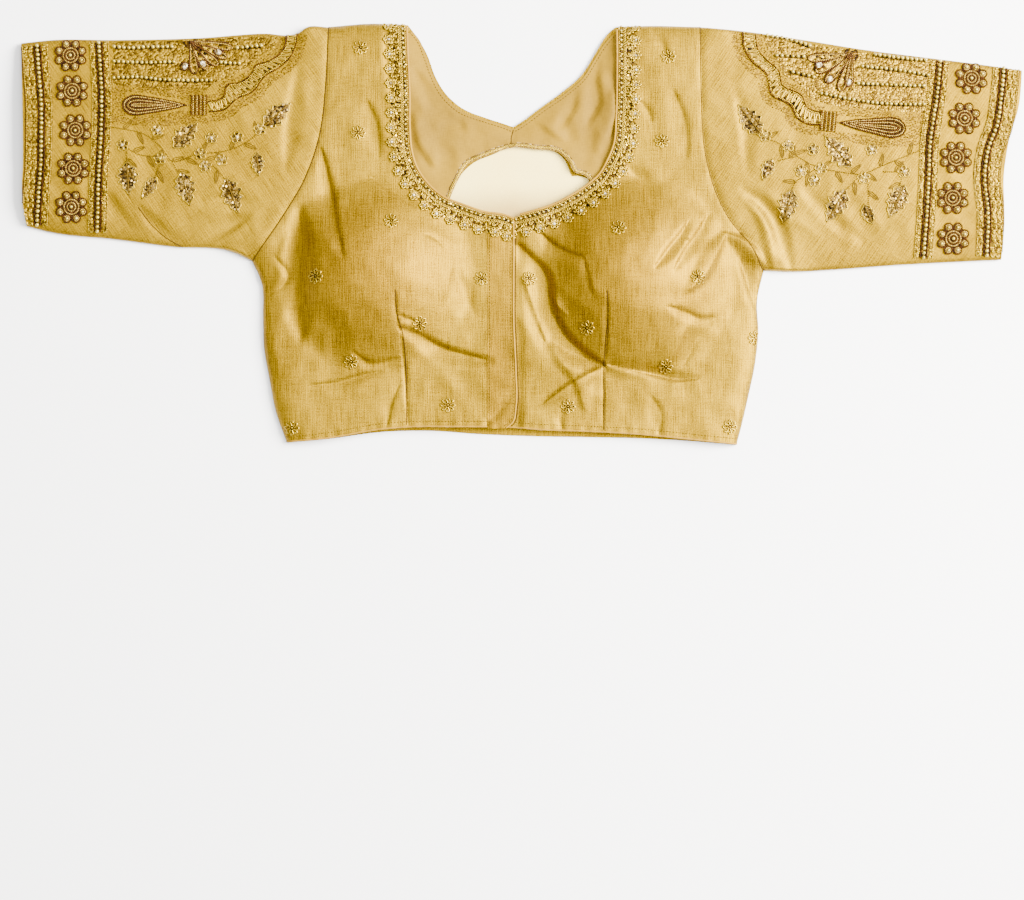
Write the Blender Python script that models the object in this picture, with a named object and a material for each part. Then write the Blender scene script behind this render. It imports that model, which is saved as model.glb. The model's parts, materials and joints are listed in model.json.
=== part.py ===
# Choli blouse in gold silk, laid flat on its back with the front up.
# Metres, Z up. The tables are in millimetres, from a point in the middle of the
# blouse. Right and left are the wearer's, so the right side lies at -X.

import math

import bpy
import numpy as np
from mathutils import Vector
from mathutils.bvhtree import BVHTree
from mathutils.geometry import delaunay_2d_cdt

MM = 0.001

# Cloth and seams
CLOTH = 1.2
THIN_CLOTH = 1.0
SEAM = 0.3
SEAM_ROUND_CLEARANCE = 0.4
PIPING_RADIUS = 1.2
NECK_INSET = 2.9
PLACKET_DIP = 2.6
PLACKET_DIP_RUN = 10.0

# How the layers stand apart
BODY_LOFT = 8.5
BODY_EDGE_ROUND = 26.0
SLEEVE_EDGE_HEIGHT = 3.8
SLEEVE_EDGE_ROUND = 3.2
SLEEVE_LOFT = 9.0
SLEEVE_BLEND = 0.25

# Density of the walls
EDGE_STEP = 7.5
FRONT_CELL = 13.0
BACK_CELL = 34.0
SLEEVE_ROUND_STEPS = 36
SLEEVE_LENGTH_STEPS = 17

# Raised work on the sleeves
FLOWER_DIAMETER = 27.0
FLOWER_PETALS = 8
FLOWER_PETAL_RISE = 2.8
FLOWER_VALLEY_RISE = 1.3
FLOWER_CENTRE_RISE = 3.2
TASSEL_RISE = 4.0
ARCH_RISE = 1.4
LOTUS_RISE = 2.4
WORK_SEAT = 0.35

# Outline of the body, each curve as (x, y)
ARMHOLE_RIGHT = [(-177, 190), (-179, 142), (-186, 86), (-200, 47), (-218, 17), (-247, -25)]
ARMHOLE_LEFT = [(165, 190), (166, 125), (169, 77), (178, 41), (191, 14), (211, -11), (223, -34)]
SIDE_RIGHT = [(-247, -25), (-238, -46), (-237, -75), (-236, -105), (-231, -134), (-225, -164), (-215, -192)]
SIDE_LEFT = [(223, -34), (217, -61), (218, -90), (215, -120), (209, -149), (203, -175), (198, -194)]
SHOULDER_RIGHT = [(-104, 192), (-139, 193), (-177, 190)]
SHOULDER_LEFT = [(87, 190), (119, 191), (165, 190)]
HEM_FRONT_RIGHT = [(-215, -192), (-181, -189), (-126, -180), (-98, -178), (-62, -178), (-31, -178)]
HEM_FRONT_LEFT = [(-22, -178), (-3, -179), (23, -181), (54, -182), (109, -185), (150, -189), (198, -194)]
HEM_BACK = [(-215, -192), (-181, -189), (-126, -182), (-84, -181), (-39, -184), (12, -186), (67, -187), (109, -188),
            (150, -190), (198, -194)]
NECK_FRONT_RIGHT = [(-104, 192), (-103, 169), (-101, 123), (-101, 98), (-99, 75), (-95, 62), (-86, 48), (-68, 33),
                    (-55, 28), (-31, 20), (-16, 18), (-6, 14)]
NECK_FRONT_LEFT = [(-22, 17), (-10, 17), (9, 21), (28, 27), (46, 36), (61, 46), (71, 55), (78, 67), (84, 82),
                   (86, 105), (87, 151), (87, 190)]
NECK_BACK = [(-104, 192), (-95, 180), (-86, 164), (-79, 145), (-71, 131), (-55, 116), (-31, 106), (-7, 99),
             (17, 116), (39, 131), (55, 145), (65, 160), (73, 175), (78, 186), (87, 190)]

# The placket band laps over the left front
PLACKET_INNER_X = -30.7
PLACKET_EDGE = [(-6, 12), (-6, -36), (-6, -82), (-4, -127), (-4, -160), (-7, -174), (-13, -179)]
PLACKET_HEM_Y = -179.0

# Window cut in the back, its net and its patch
WINDOW = [(-8, 75), (-24, 67), (-39, 61), (-51, 50), (-59, 37), (-74, 35), (-88, 27), (-96, 16), (-105, -1),
          (-112, -21), (-114, -60), (-114, -111)]
WINDOW_OTHER_HALF = [(107, -105), (107, -60), (104, -21), (99, -5), (93, 11), (81, 29), (69, 40), (53, 47),
                     (41, 48), (40, 52), (33, 67), (16, 74), (-8, 75)]
NET_MARGIN = 6.0
PATCH_TOP_RIGHT_X = -111.2
PATCH_TOP_LEFT_X = 103.8
PATCH_BOTTOM_RIGHT_X = -113.2
PATCH_BOTTOM_LEFT_X = 106.3
PATCH_BOTTOM_RIGHT_Y = -109.5
PATCH_BOTTOM_LEFT_Y = -103.5
PATCH_TOP_Y = -28.0
PATCH_SCALLOPS = 8
PATCH_SCALLOP_RISE = 9.0

# Lining of the back where the neck shows it
LINING_NECK = [(-92, 178), (-87, 163), (-81, 146), (-73, 130), (-57, 114), (-31, 103), (-7, 97), (18, 113),
               (41, 129), (57, 143), (67, 159), (73, 170)]
LINING_LEFT_EDGE = [(73, 170), (97, 170), (97, 60), (86, 36), (68, 20)]
LINING_WINDOW = [(68, 20), (64, 44), (60, 52), (49, 56), (43, 66), (35, 74), (14, 77), (-6, 79), (-24, 74),
                 (-37, 69), (-49, 63), (-56, 52), (-62, 40), (-70, 18)]
LINING_RIGHT_EDGE = [(-70, 18), (-92, 32), (-108, 58), (-112, 100), (-112, 178), (-92, 178)]

# Padded cups as (x, y, radius across, radius along, rise)
CUPS = [
    (-134, -34, 92, 86, 30),
    (108, -37, 92, 90, 33),
]

# Largest folds as (x0, y0, x1, y1, reach, rise); a hollow has a negative rise
FOLDS = [
    (-111, -87, -9, -124, 12, -4.0),
    (-113, -74, -95, -82, 8, -2.0),
    (-3, -15, 17, -61, 13, -5.0),
    (17, -61, 74, -120, 13, -5.0),
    (76, -122, 12, -158, 12, 4.0),
    (77, -122, 143, -135, 10, -3.5),
    (134, -68, 181, -75, 11, -4.0),
    (120, -35, 174, 28, 12, 4.0),
    (137, -36, 185, 18, 11, -4.0),
    (166, 6, 222, -30, 16, 8.0),
    (189, -6, 212, -66, 13, -6.0),
    (-196, 17, -192, -69, 15, -5.0),
    (-173, 31, -162, -19, 10, -3.0),
    (-180, -88, -160, -70, 20, -6.0),
    (-232, -61, -206, -17, 11, 5.0),
    (-192, -140, -155, -132, 9, -2.5),
    (-142, -115, -109, -112, 9, -2.0),
    (-348, 25, -320, -8, 12, -4.0),
    (-276, -12, -239, 11, 13, 3.5),
    (-310, 7, -220, 31, 15, 3.0),
    (203, 37, 236, 10, 14, -5.0),
    (236, 10, 245, -34, 14, -6.0),
    (289, 18, 321, -6, 15, 3.0),
    (-113, -56, -111, -100, 5, -1.6),
    (-111, -100, -105, -176, 5, -1.8),
    (78, -56, 76, -110, 5, -1.6),
    (76, -110, 75, -180, 5, -1.8),
]

# Outline of the sleeves
SLEEVE_RIGHT = {
    "top": [(-459, 175), (-430, 178), (-374, 178), (-292, 180), (-236, 184), (-205, 184), (-196, 190), (-177, 190)],
    "under": [(-454, 7), (-430, 1), (-374, -5), (-319, -12), (-264, -17), (-247, -25)],
    "cuff": [(-459, 175), (-457, 131), (-456, 72), (-457, 28), (-454, 7)],
    "armhole": ARMHOLE_RIGHT,
    "toward_cuff": -1,
}
SLEEVE_LEFT = {
    "top": [(460, 150), (426, 155), (371, 162), (316, 169), (260, 178), (205, 186), (165, 190)],
    "under": [(441, -24), (398, -26), (343, -29), (288, -33), (247, -35), (223, -34)],
    "cuff": [(460, 150), (456, 116), (447, 86), (442, 50), (443, 13), (441, -24)],
    "armhole": ARMHOLE_LEFT,
    "toward_cuff": 1,
}

# Flowers on the cuffs as (x, y)
FLOWERS_RIGHT = [(-413, 161), (-411, 129), (-408, 94), (-410, 59), (-412, 24)]
FLOWERS_LEFT = [(413, 140), (406, 105), (398, 69), (395, 32), (396, -5)]

# Tassels: round end, bound end, and the half width along the way
TASSEL_RIGHT = {"round_end": (-373, 119), "bound_end": (-288, 118)}
TASSEL_LEFT = {"round_end": (363, 94), "bound_end": (275, 103)}
TASSEL_WIDTHS = [(0.00, 2.5), (0.03, 6.5), (0.10, 8.8), (0.24, 8.6), (0.50, 6.0), (0.70, 3.6), (0.79, 3.2), (0.81, 8.6),
                 (0.99, 8.6)]

# Scalloped arch bands, inner and outer line
ARCH_RIGHT = {
    "inner": [(-287, 120), (-273, 124), (-269, 136), (-258, 138), (-247, 146), (-243, 154), (-233, 157), (-223, 163),
              (-217, 171), (-215, 179)],
    "outer": [(-285, 111), (-271, 113), (-260, 123), (-246, 129), (-234, 144), (-221, 152), (-211, 162), (-207, 171),
              (-206, 179)],
}
ARCH_LEFT = {
    "inner": [(274, 110), (262, 115), (257, 126), (239, 136), (236, 149), (226, 158), (217, 169), (215, 179)],
    "outer": [(274, 99), (265, 99), (252, 106), (247, 116), (229, 127), (225, 145), (212, 157), (204, 170), (203, 180)],
}

# Lotus fans under the top fold of the sleeves
LOTUS_RIGHT = [(-316, 174), (-315, 160), (-308, 150), (-300, 147), (-293, 152), (-281, 152), (-277, 162), (-266, 167),
               (-264, 175), (-290, 176)]
LOTUS_LEFT = [(262, 170), (262, 158), (272, 150), (277, 138), (289, 139), (298, 131), (306, 135), (311, 149),
              (313, 161), (288, 167)]

# Colours as (red, green, blue, roughness, metallic)
LOOKS = {
    "silk": (0.62, 0.42, 0.13, 0.42, 0.25),
    "piping": (0.68, 0.47, 0.17, 0.40, 0.20),
    "lining": (0.50, 0.35, 0.12, 0.60, 0.00),
    "net": (0.78, 0.72, 0.55, 0.70, 0.00),
    "patch": (0.42, 0.24, 0.07, 0.45, 0.40),
    "bead_work": (0.24, 0.10, 0.05, 0.35, 0.55),
    "gold_work": (0.46, 0.27, 0.06, 0.35, 0.70),
}


for old in list(bpy.data.objects):
    bpy.data.objects.remove(old, do_unlink=True)


def resampled(line, step):
    line = np.asarray(line, float)
    runs = np.hypot(*np.diff(line, axis=0).T)
    length = np.concatenate([[0.0], np.cumsum(runs)])
    count = max(1, int(round(length[-1] / step)))
    at = np.linspace(0.0, length[-1], count + 1)
    return np.column_stack([np.interp(at, length, line[:, 0]), np.interp(at, length, line[:, 1])])


# A smooth curve through the rows of a table
def fine_curve(table):
    rows = np.asarray(table, float)
    runs = np.hypot(*np.diff(rows, axis=0).T)
    slopes = np.diff(rows, axis=0) / runs[:, None]
    tangents = np.empty_like(rows)
    tangents[0] = slopes[0]
    tangents[-1] = slopes[-1]
    for k in range(1, len(rows) - 1):
        share = runs[k] / (runs[k - 1] + runs[k])
        tangents[k] = slopes[k - 1] * share + slopes[k] * (1.0 - share)
    line = []
    for k in range(len(runs)):
        for t in np.linspace(0.0, 1.0, 10, endpoint=False):
            start = (2 * t ** 3 - 3 * t ** 2 + 1) * rows[k] + (t ** 3 - 2 * t ** 2 + t) * runs[k] * tangents[k]
            end = (3 * t ** 2 - 2 * t ** 3) * rows[k + 1] + (t ** 3 - t ** 2) * runs[k] * tangents[k + 1]
            line.append(start + end)
    line.append(rows[-1])
    return np.array(line)


def curve(table, step=EDGE_STEP):
    return resampled(fine_curve(table), step)


# The same line moved sideways, to its left when the distance is positive
def moved_aside(line, distance):
    line = np.asarray(line, float)
    along = np.gradient(line, axis=0)
    along /= np.hypot(along[:, 0], along[:, 1])[:, None]
    return line + distance * np.column_stack([-along[:, 1], along[:, 0]])


def joined(*lines):
    points = []
    for line in lines:
        for point in line:
            if not points or math.hypot(point[0] - points[-1][0], point[1] - points[-1][1]) > 0.05:
                points.append((float(point[0]), float(point[1])))
    if math.hypot(points[0][0] - points[-1][0], points[0][1] - points[-1][1]) < 0.05:
        points.pop()
    return points


def distance_to(x, y, line):
    line = np.asarray(line, float)
    best = np.full(np.shape(x), 1e9)
    for start, end in zip(line[:-1], line[1:]):
        run = end - start
        share = ((x - start[0]) * run[0] + (y - start[1]) * run[1]) / (run @ run)
        share = np.clip(share, 0.0, 1.0)
        best = np.minimum(best, np.hypot(x - start[0] - share * run[0], y - start[1] - share * run[1]))
    return best


def inside(x, y, loop):
    hit = np.zeros(np.shape(x), bool)
    for (ax, ay), (bx, by) in zip(loop, loop[1:] + loop[:1]):
        if ay != by:
            crosses = (ay > y) != (by > y)
            hit ^= crosses & (x < (bx - ax) * (y - ay) / (by - ay) + ax)
    return hit


def signed_area(loop):
    return 0.5 * sum(ax * by - bx * ay for (ax, ay), (bx, by) in zip(loop, loop[1:] + loop[:1]))


def smooth_step(t):
    t = np.clip(t, 0.0, 1.0)
    return t * t * (3.0 - 2.0 * t)


# Height of the cloth

SEAMS_PINNED = [curve(SIDE_RIGHT), curve(SIDE_LEFT), curve(SHOULDER_RIGHT), curve(SHOULDER_LEFT)]


def fold_height(x, y):
    height = np.zeros(np.shape(x))
    for x0, y0, x1, y1, reach, rise in FOLDS:
        run_x = x1 - x0
        run_y = y1 - y0
        share = np.clip(((x - x0) * run_x + (y - y0) * run_y) / (run_x ** 2 + run_y ** 2), 0.0, 1.0)
        away = np.hypot(x - x0 - share * run_x, y - y0 - share * run_y) / reach
        height += rise * np.clip(1.0 - away ** 2, 0.0, None) ** 2 * (0.45 + 0.55 * np.sin(math.pi * share))
    return height


def cup_height(x, y):
    height = np.zeros(np.shape(x))
    for cx, cy, across, along, rise in CUPS:
        away = np.hypot((x - cx) / across, (y - cy) / along)
        height += rise * np.clip(1.0 - away ** 2.5, 0.0, None) ** 1.7
    return height


def seam_lift(x, y):
    away = np.min([distance_to(x, y, seam) for seam in SEAMS_PINNED], axis=0)
    return np.sqrt(1.0 - (1.0 - np.clip(away / BODY_EDGE_ROUND, 0.0, 1.0)) ** 2)


def front_under(x, y):
    lift = seam_lift(x, y)
    return CLOTH + SEAM + BODY_LOFT * lift + cup_height(x, y) * lift + fold_height(x, y) * lift


def left_front_under(x, y):
    dip = PLACKET_DIP * smooth_step((6.0 - x) / PLACKET_DIP_RUN)
    return front_under(x, y) - dip


def wall_depth(under, x, y, thickness):
    slope_x = (under(x + 1.0, y) - under(x - 1.0, y)) / 2.0
    slope_y = (under(x, y + 1.0) - under(x, y - 1.0)) / 2.0
    return thickness * np.minimum(np.sqrt(1.0 + slope_x ** 2 + slope_y ** 2), 1.5)


# Meshes

made = {}


def add_object(name, points, faces, look):
    red, green, blue, roughness, metallic = LOOKS[look]
    material = bpy.data.materials.new(name)
    material.use_nodes = True
    shader = material.node_tree.nodes["Principled BSDF"]
    shader.inputs["Base Color"].default_value = (red, green, blue, 1.0)
    shader.inputs["Roughness"].default_value = roughness
    shader.inputs["Metallic"].default_value = metallic
    mesh = bpy.data.meshes.new(name)
    mesh.from_pydata([Vector(point) * MM for point in points], [], faces)
    mesh.validate()
    mesh.materials.append(material)
    mesh.shade_smooth()
    mesh.set_sharp_from_angle(angle=math.radians(50.0))
    obj = bpy.data.objects.new(name, mesh)
    bpy.context.scene.collection.objects.link(obj)
    made[name] = obj
    return obj


# Points inside an outline: along the folds first, then an even grid
def inner_points(outline, holes, cell, folds, clearance):
    xs = [point[0] for point in outline]
    ys = [point[1] for point in outline]
    tries = []
    for x0, y0, x1, y1, reach, rise in folds:
        length = math.hypot(x1 - x0, y1 - y0)
        side_x = -(y1 - y0) / length
        side_y = (x1 - x0) / length
        steps = max(2, int(length / 11.0))
        for k in range(steps + 1):
            for offset in (0.0, -0.62 * reach, 0.62 * reach):
                tries.append((x0 + (x1 - x0) * k / steps + side_x * offset,
                              y0 + (y1 - y0) * k / steps + side_y * offset))
    row = 0
    y = min(ys)
    while y < max(ys):
        x = min(xs) + (row % 2) * cell / 2.0
        while x < max(xs):
            tries.append((x, y))
            x += cell
        y += cell * math.sqrt(3.0) / 2.0
        row += 1
    tried = np.array(tries)
    good = inside(tried[:, 0], tried[:, 1], outline)
    good &= distance_to(tried[:, 0], tried[:, 1], outline + outline[:1]) > clearance
    for hole in holes:
        good &= ~inside(tried[:, 0], tried[:, 1], hole)
        good &= distance_to(tried[:, 0], tried[:, 1], hole + hole[:1]) > clearance
    kept = []
    fold_points = len(folds) > 0
    for point in tried[good]:
        spacing = 0.62 * cell if fold_points else 0.9 * cell
        if all(math.hypot(point[0] - other[0], point[1] - other[1]) > spacing for other in kept):
            kept.append((float(point[0]), float(point[1])))
    return kept


# A cloth wall over an outline: a lower face, an upper face and the cut edge
def add_sheet(name, outline, under, depth, look, holes=(), cell=FRONT_CELL, folds=(), inner=None):
    holes = [list(hole) for hole in holes]
    if inner is None:
        inner = inner_points(outline, holes, cell, folds, 0.5 * cell)
    points = []
    edges = []
    for loop in [list(outline)] + holes:
        first = len(points)
        points += loop
        edges += [(first + k, first + (k + 1) % len(loop)) for k in range(len(loop))]
    points += list(inner)
    found = delaunay_2d_cdt([Vector(point) for point in points], edges, [], 0, 1e-5)
    flat = np.array([tuple(vert) for vert in found[0]])
    faces = []
    for face in found[2]:
        a, b, c = (flat[k] for k in face)
        if (b[0] - a[0]) * (c[1] - a[1]) - (c[0] - a[0]) * (b[1] - a[1]) < 0:
            face = tuple(reversed(face))
        faces.append(tuple(face))
    middle = np.array([flat[list(face)].mean(axis=0) for face in faces])
    keep = inside(middle[:, 0], middle[:, 1], list(outline))
    for hole in holes:
        keep &= ~inside(middle[:, 0], middle[:, 1], hole)
    faces = [face for face, kept in zip(faces, keep) if kept]
    x = flat[:, 0]
    y = flat[:, 1]
    low = under(x, y)
    high = low + depth(x, y)
    count = len(flat)
    vertices = [(x[k], y[k], low[k]) for k in range(count)] + [(x[k], y[k], high[k]) for k in range(count)]
    solid = [tuple(reversed(face)) for face in faces]
    solid += [tuple(k + count for k in face) for face in faces]
    rim = {}
    for face in faces:
        for a, b in zip(face, face[1:] + face[:1]):
            rim[(a, b)] = True
    for a, b in rim:
        if (b, a) not in rim:
            solid.append((a, b, b + count, a + count))
    used = sorted({k for face in solid for k in face})
    number = {old: new for new, old in enumerate(used)}
    vertices = [vertices[k] for k in used]
    solid = [tuple(number[k] for k in face) for face in solid]
    return add_object(name, vertices, solid, look)


# A round cord along a path of (x, y, z)
def add_cord(name, path, radius, sides, look):
    path = np.asarray(path, float)
    along = np.gradient(path, axis=0)
    along /= np.linalg.norm(along, axis=1)[:, None]
    across = np.cross(along, (0.0, 0.0, 1.0))
    across /= np.linalg.norm(across, axis=1)[:, None]
    up = np.cross(across, along)
    vertices = []
    for k in range(len(path)):
        for j in range(sides):
            turn = 2.0 * math.pi * j / sides
            vertices.append(tuple(path[k] + radius * (math.cos(turn) * across[k] + math.sin(turn) * up[k])))
    faces = []
    for k in range(len(path) - 1):
        for j in range(sides):
            a = k * sides + j
            b = k * sides + (j + 1) % sides
            faces.append((a, a + sides, b + sides, b))
    last = (len(path) - 1) * sides
    faces.append(tuple(range(sides)))
    faces.append(tuple(reversed(range(last, last + sides))))
    return add_object(name, vertices, faces, look)


def even_depth(thickness):
    return lambda x, y: np.full(np.shape(x), thickness)


def level(height):
    return lambda x, y: np.full(np.shape(x), height)


# Front panels

right_neck = moved_aside(curve(NECK_FRONT_RIGHT), -NECK_INSET)
left_neck = moved_aside(curve(NECK_FRONT_LEFT), -NECK_INSET)


# The part of a line on one side of x, ended exactly there
def cut_at_x(line, x, keep_below):
    kept = []
    for a, b in zip(line[:-1], line[1:]):
        a_in = (a[0] <= x) == keep_below
        b_in = (b[0] <= x) == keep_below
        if a_in:
            kept.append(tuple(a))
        if a_in != b_in:
            share = (x - a[0]) / (b[0] - a[0])
            kept.append((x, a[1] + share * (b[1] - a[1])))
        if b_in:
            kept.append(tuple(b))
    return kept


panel_edge_x = PLACKET_INNER_X - SEAM
neck_to_placket = cut_at_x(right_neck, panel_edge_x, True)
hem_to_placket = cut_at_x(curve(HEM_FRONT_RIGHT), panel_edge_x, True)
placket_seam = curve([hem_to_placket[-1], neck_to_placket[-1]])
shoulder_right = cut_at_x(curve(SHOULDER_RIGHT), right_neck[0][0], True)
right_outline = joined(curve(SIDE_RIGHT), hem_to_placket, placket_seam, neck_to_placket[::-1], shoulder_right,
                       curve(ARMHOLE_RIGHT))
left_start = left_neck[0]
left_inner = curve([tuple(left_start), HEM_FRONT_LEFT[0]])
shoulder_left = cut_at_x(curve(SHOULDER_LEFT), left_neck[-1][0], False)
left_outline = joined(left_inner, curve(HEM_FRONT_LEFT), curve(SIDE_LEFT)[::-1], curve(ARMHOLE_LEFT)[::-1],
                      shoulder_left[::-1], left_neck[::-1])

add_sheet("front_right_panel", right_outline, front_under, lambda x, y: wall_depth(front_under, x, y, CLOTH), "silk",
          folds=FOLDS)
add_sheet("front_left_panel", left_outline, left_front_under,
          lambda x, y: wall_depth(left_front_under, x, y, CLOTH), "silk", folds=FOLDS)

placket_top = cut_at_x(right_neck, PLACKET_INNER_X, False)
placket_outline = joined(curve([(PLACKET_INNER_X, PLACKET_HEM_Y), placket_top[0]])[::-1],
                         curve([(PLACKET_INNER_X, PLACKET_HEM_Y), PLACKET_EDGE[-1]]),
                         curve(PLACKET_EDGE)[::-1], placket_top[::-1])
add_sheet("front_placket", placket_outline, front_under, lambda x, y: wall_depth(front_under, x, y, CLOTH), "silk",
          folds=FOLDS)


# Piping along the front neck
def neck_cord(table, panel_line, under):
    edge = curve(table)
    middle = edge + (panel_line - edge) * (PIPING_RADIUS / NECK_INSET)
    height = under(panel_line[:, 0], panel_line[:, 1]) + 0.5 * CLOTH
    height = np.maximum(height, CLOTH + 2 * SEAM + PIPING_RADIUS)
    return np.column_stack([middle, height])


right_cord = neck_cord(NECK_FRONT_RIGHT, right_neck, front_under)
left_cord = neck_cord(NECK_FRONT_LEFT, left_neck, left_front_under)
right_cord = right_cord[right_cord[:, 1] < SHOULDER_RIGHT[0][1] - 2.0]
left_cord = left_cord[(left_cord[:, 1] < SHOULDER_LEFT[0][1] - 2.0) & (left_cord[:, 0] > -3.0)]
add_cord("neck_piping_right", right_cord, PIPING_RADIUS, 6, "piping")
add_cord("neck_piping_left", left_cord, PIPING_RADIUS, 6, "piping")

# Back with its window

window_loop = joined(curve(WINDOW), curve([WINDOW[-1], WINDOW_OTHER_HALF[0]]), curve(WINDOW_OTHER_HALF))
back_outline = joined(curve(SIDE_RIGHT), curve(HEM_BACK), curve(SIDE_LEFT)[::-1], curve(ARMHOLE_LEFT)[::-1],
                      curve(SHOULDER_LEFT)[::-1], curve(NECK_BACK)[::-1], curve(SHOULDER_RIGHT), curve(ARMHOLE_RIGHT))
add_sheet("back_panel", back_outline, level(0.0), even_depth(CLOTH), "silk", holes=[window_loop], cell=BACK_CELL)

net_line = moved_aside(np.array(window_loop + window_loop[:1]), -NET_MARGIN)[:-1]
net_outline = joined(resampled(np.vstack([net_line, net_line[:1]]), 12.0))
if abs(signed_area(net_outline)) < abs(signed_area(window_loop)):
    net_line = moved_aside(np.array(window_loop + window_loop[:1]), NET_MARGIN)[:-1]
    net_outline = joined(resampled(np.vstack([net_line, net_line[:1]]), 12.0))
add_sheet("back_net", net_outline, level(CLOTH + SEAM), even_depth(THIN_CLOTH), "net", cell=BACK_CELL)

lining_outline = joined(curve(LINING_NECK), resampled(LINING_LEFT_EDGE, 14.0), curve(LINING_WINDOW),
                        resampled(LINING_RIGHT_EDGE, 14.0))
add_sheet("back_lining", lining_outline, level(CLOTH + THIN_CLOTH + 2 * SEAM), even_depth(THIN_CLOTH), "lining",
          cell=BACK_CELL)


# Patch in the lower part of the window, with a scalloped top
def patch_top():
    line = []
    steps = PATCH_SCALLOPS * 5
    for k in range(steps + 1):
        share = k / steps
        x = PATCH_TOP_RIGHT_X + share * (PATCH_TOP_LEFT_X - PATCH_TOP_RIGHT_X)
        line.append((x, PATCH_TOP_Y + PATCH_SCALLOP_RISE * abs(math.sin(math.pi * share * PATCH_SCALLOPS))))
    return line


patch_foot_right = (PATCH_BOTTOM_RIGHT_X, PATCH_BOTTOM_RIGHT_Y)
patch_foot_left = (PATCH_BOTTOM_LEFT_X, PATCH_BOTTOM_LEFT_Y)
patch_outline = joined(curve([(PATCH_TOP_RIGHT_X, PATCH_TOP_Y), patch_foot_right], 20.0),
                       curve([patch_foot_right, patch_foot_left], 20.0),
                       curve([patch_foot_left, (PATCH_TOP_LEFT_X, PATCH_TOP_Y)], 20.0), patch_top()[::-1])
add_sheet("back_patch", patch_outline, level(0.0), even_depth(CLOTH), "patch", cell=BACK_CELL)


# Sleeves, each a flattened tube from the cuff to the armhole

def at_share(line, shares):
    runs = np.hypot(*np.diff(line, axis=0).T)
    length = np.concatenate([[0.0], np.cumsum(runs)])
    length /= length[-1]
    return np.column_stack([np.interp(shares, length, line[:, 0]), np.interp(shares, length, line[:, 1])])


def sleeve_plan(sleeve, s, t):
    top = fine_curve(sleeve["top"])
    under = fine_curve(sleeve["under"])
    cuff = fine_curve(sleeve["cuff"])
    armhole = fine_curve(sleeve["armhole"]) + np.array([sleeve["toward_cuff"] * SEAM_ROUND_CLEARANCE, 0.0])
    s = np.asarray(s, float)
    t = np.asarray(t, float)
    a = s[:, None]
    b = t[:, None]
    edges = (1 - b) * at_share(top, s) + b * at_share(under, s) + (1 - a) * at_share(cuff, t) + a * at_share(armhole, t)
    corners = (1 - a) * (1 - b) * top[0] + (1 - a) * b * under[0]
    corners = corners + a * (1 - b) * top[-1] + a * b * under[-1]
    return edges - corners


def sleeve_height(sleeve, s, t, x, y):
    arc = np.sin(math.pi * np.clip(t, 0.0, 1.0)) ** 0.6
    own = SLEEVE_EDGE_HEIGHT + SLEEVE_LOFT * arc + fold_height(x, y) * np.minimum(1.0, 2.0 * arc ** 2)
    body = np.maximum(front_under(x, y) + CLOTH, SLEEVE_EDGE_HEIGHT)
    share = smooth_step((s - 1.0 + SLEEVE_BLEND) / SLEEVE_BLEND)
    return own + (body - own) * share


# One ring round the tube, at a share of the length; inset is 0 outside and the cloth's thickness inside
def sleeve_ring(sleeve, s, inset):
    turn = 2.0 * math.pi * np.arange(SLEEVE_ROUND_STEPS) / SLEEVE_ROUND_STEPS
    t = 0.5 * (1.0 - np.cos(turn))
    upper = np.sin(turn) > 1e-6
    edge = np.abs(np.sin(turn)) < 1e-6
    ends = sleeve_plan(sleeve, [s, s], [0.0, 1.0])
    width = math.hypot(*(ends[1] - ends[0]))
    t_in = inset / width + t * (1.0 - 2.0 * inset / width)
    plan = sleeve_plan(sleeve, np.full(t.shape, s), t_in)
    x = plan[:, 0]
    y = plan[:, 1]
    edge_round = SLEEVE_EDGE_ROUND - 0.6 * inset
    near = np.minimum(t, 1.0 - t) * width
    full = np.sqrt(1.0 - (1.0 - np.clip(near / edge_round, 0.0, 1.0)) ** 2)
    middle = 0.5 * SLEEVE_EDGE_HEIGHT
    top = sleeve_height(sleeve, np.full(t.shape, s), t_in, x, y) - inset
    z_upper = middle + (top - middle) * full
    z_lower = middle - (middle - inset) * full
    z = np.where(edge, middle, np.where(upper, z_upper, z_lower))
    return np.column_stack([x, y, z])


def add_sleeve(name, sleeve):
    count = SLEEVE_ROUND_STEPS
    rows = SLEEVE_LENGTH_STEPS + 1
    vertices = []
    for inset in (0.0, CLOTH):
        for k in range(rows):
            vertices += [tuple(point) for point in sleeve_ring(sleeve, k / SLEEVE_LENGTH_STEPS, inset)]
    faces = []
    inner = rows * count
    for k in range(rows - 1):
        for j in range(count):
            a = k * count + j
            b = k * count + (j + 1) % count
            faces.append((a, b, b + count, a + count))
            faces.append((a + inner, a + inner + count, b + inner + count, b + inner))
    last = (rows - 1) * count
    for j in range(count):
        a = j
        b = (j + 1) % count
        faces.append((a, a + inner, b + inner, b))
        faces.append((a + last, b + last, b + last + inner, a + last + inner))
    if sleeve["toward_cuff"] > 0:
        faces = [tuple(reversed(face)) for face in faces]
    return add_object(name, vertices, faces, "silk")


add_sleeve("sleeve_right", SLEEVE_RIGHT)
add_sleeve("sleeve_left", SLEEVE_LEFT)


# Raised work, seated on the upper face of a sleeve

def face_of(obj):
    mesh = obj.data
    corners = [Vector(vert.co) / MM for vert in mesh.vertices]
    tree = BVHTree.FromPolygons(corners, [tuple(poly.vertices) for poly in mesh.polygons])

    def height(x, y):
        found = []
        for px, py in zip(np.ravel(x), np.ravel(y)):
            hit = tree.ray_cast(Vector((px, py, 200.0)), Vector((0.0, 0.0, -1.0)))[0]
            found.append((hit.z if hit else 0.0) + WORK_SEAT)
        return np.array(found)

    return height


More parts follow.
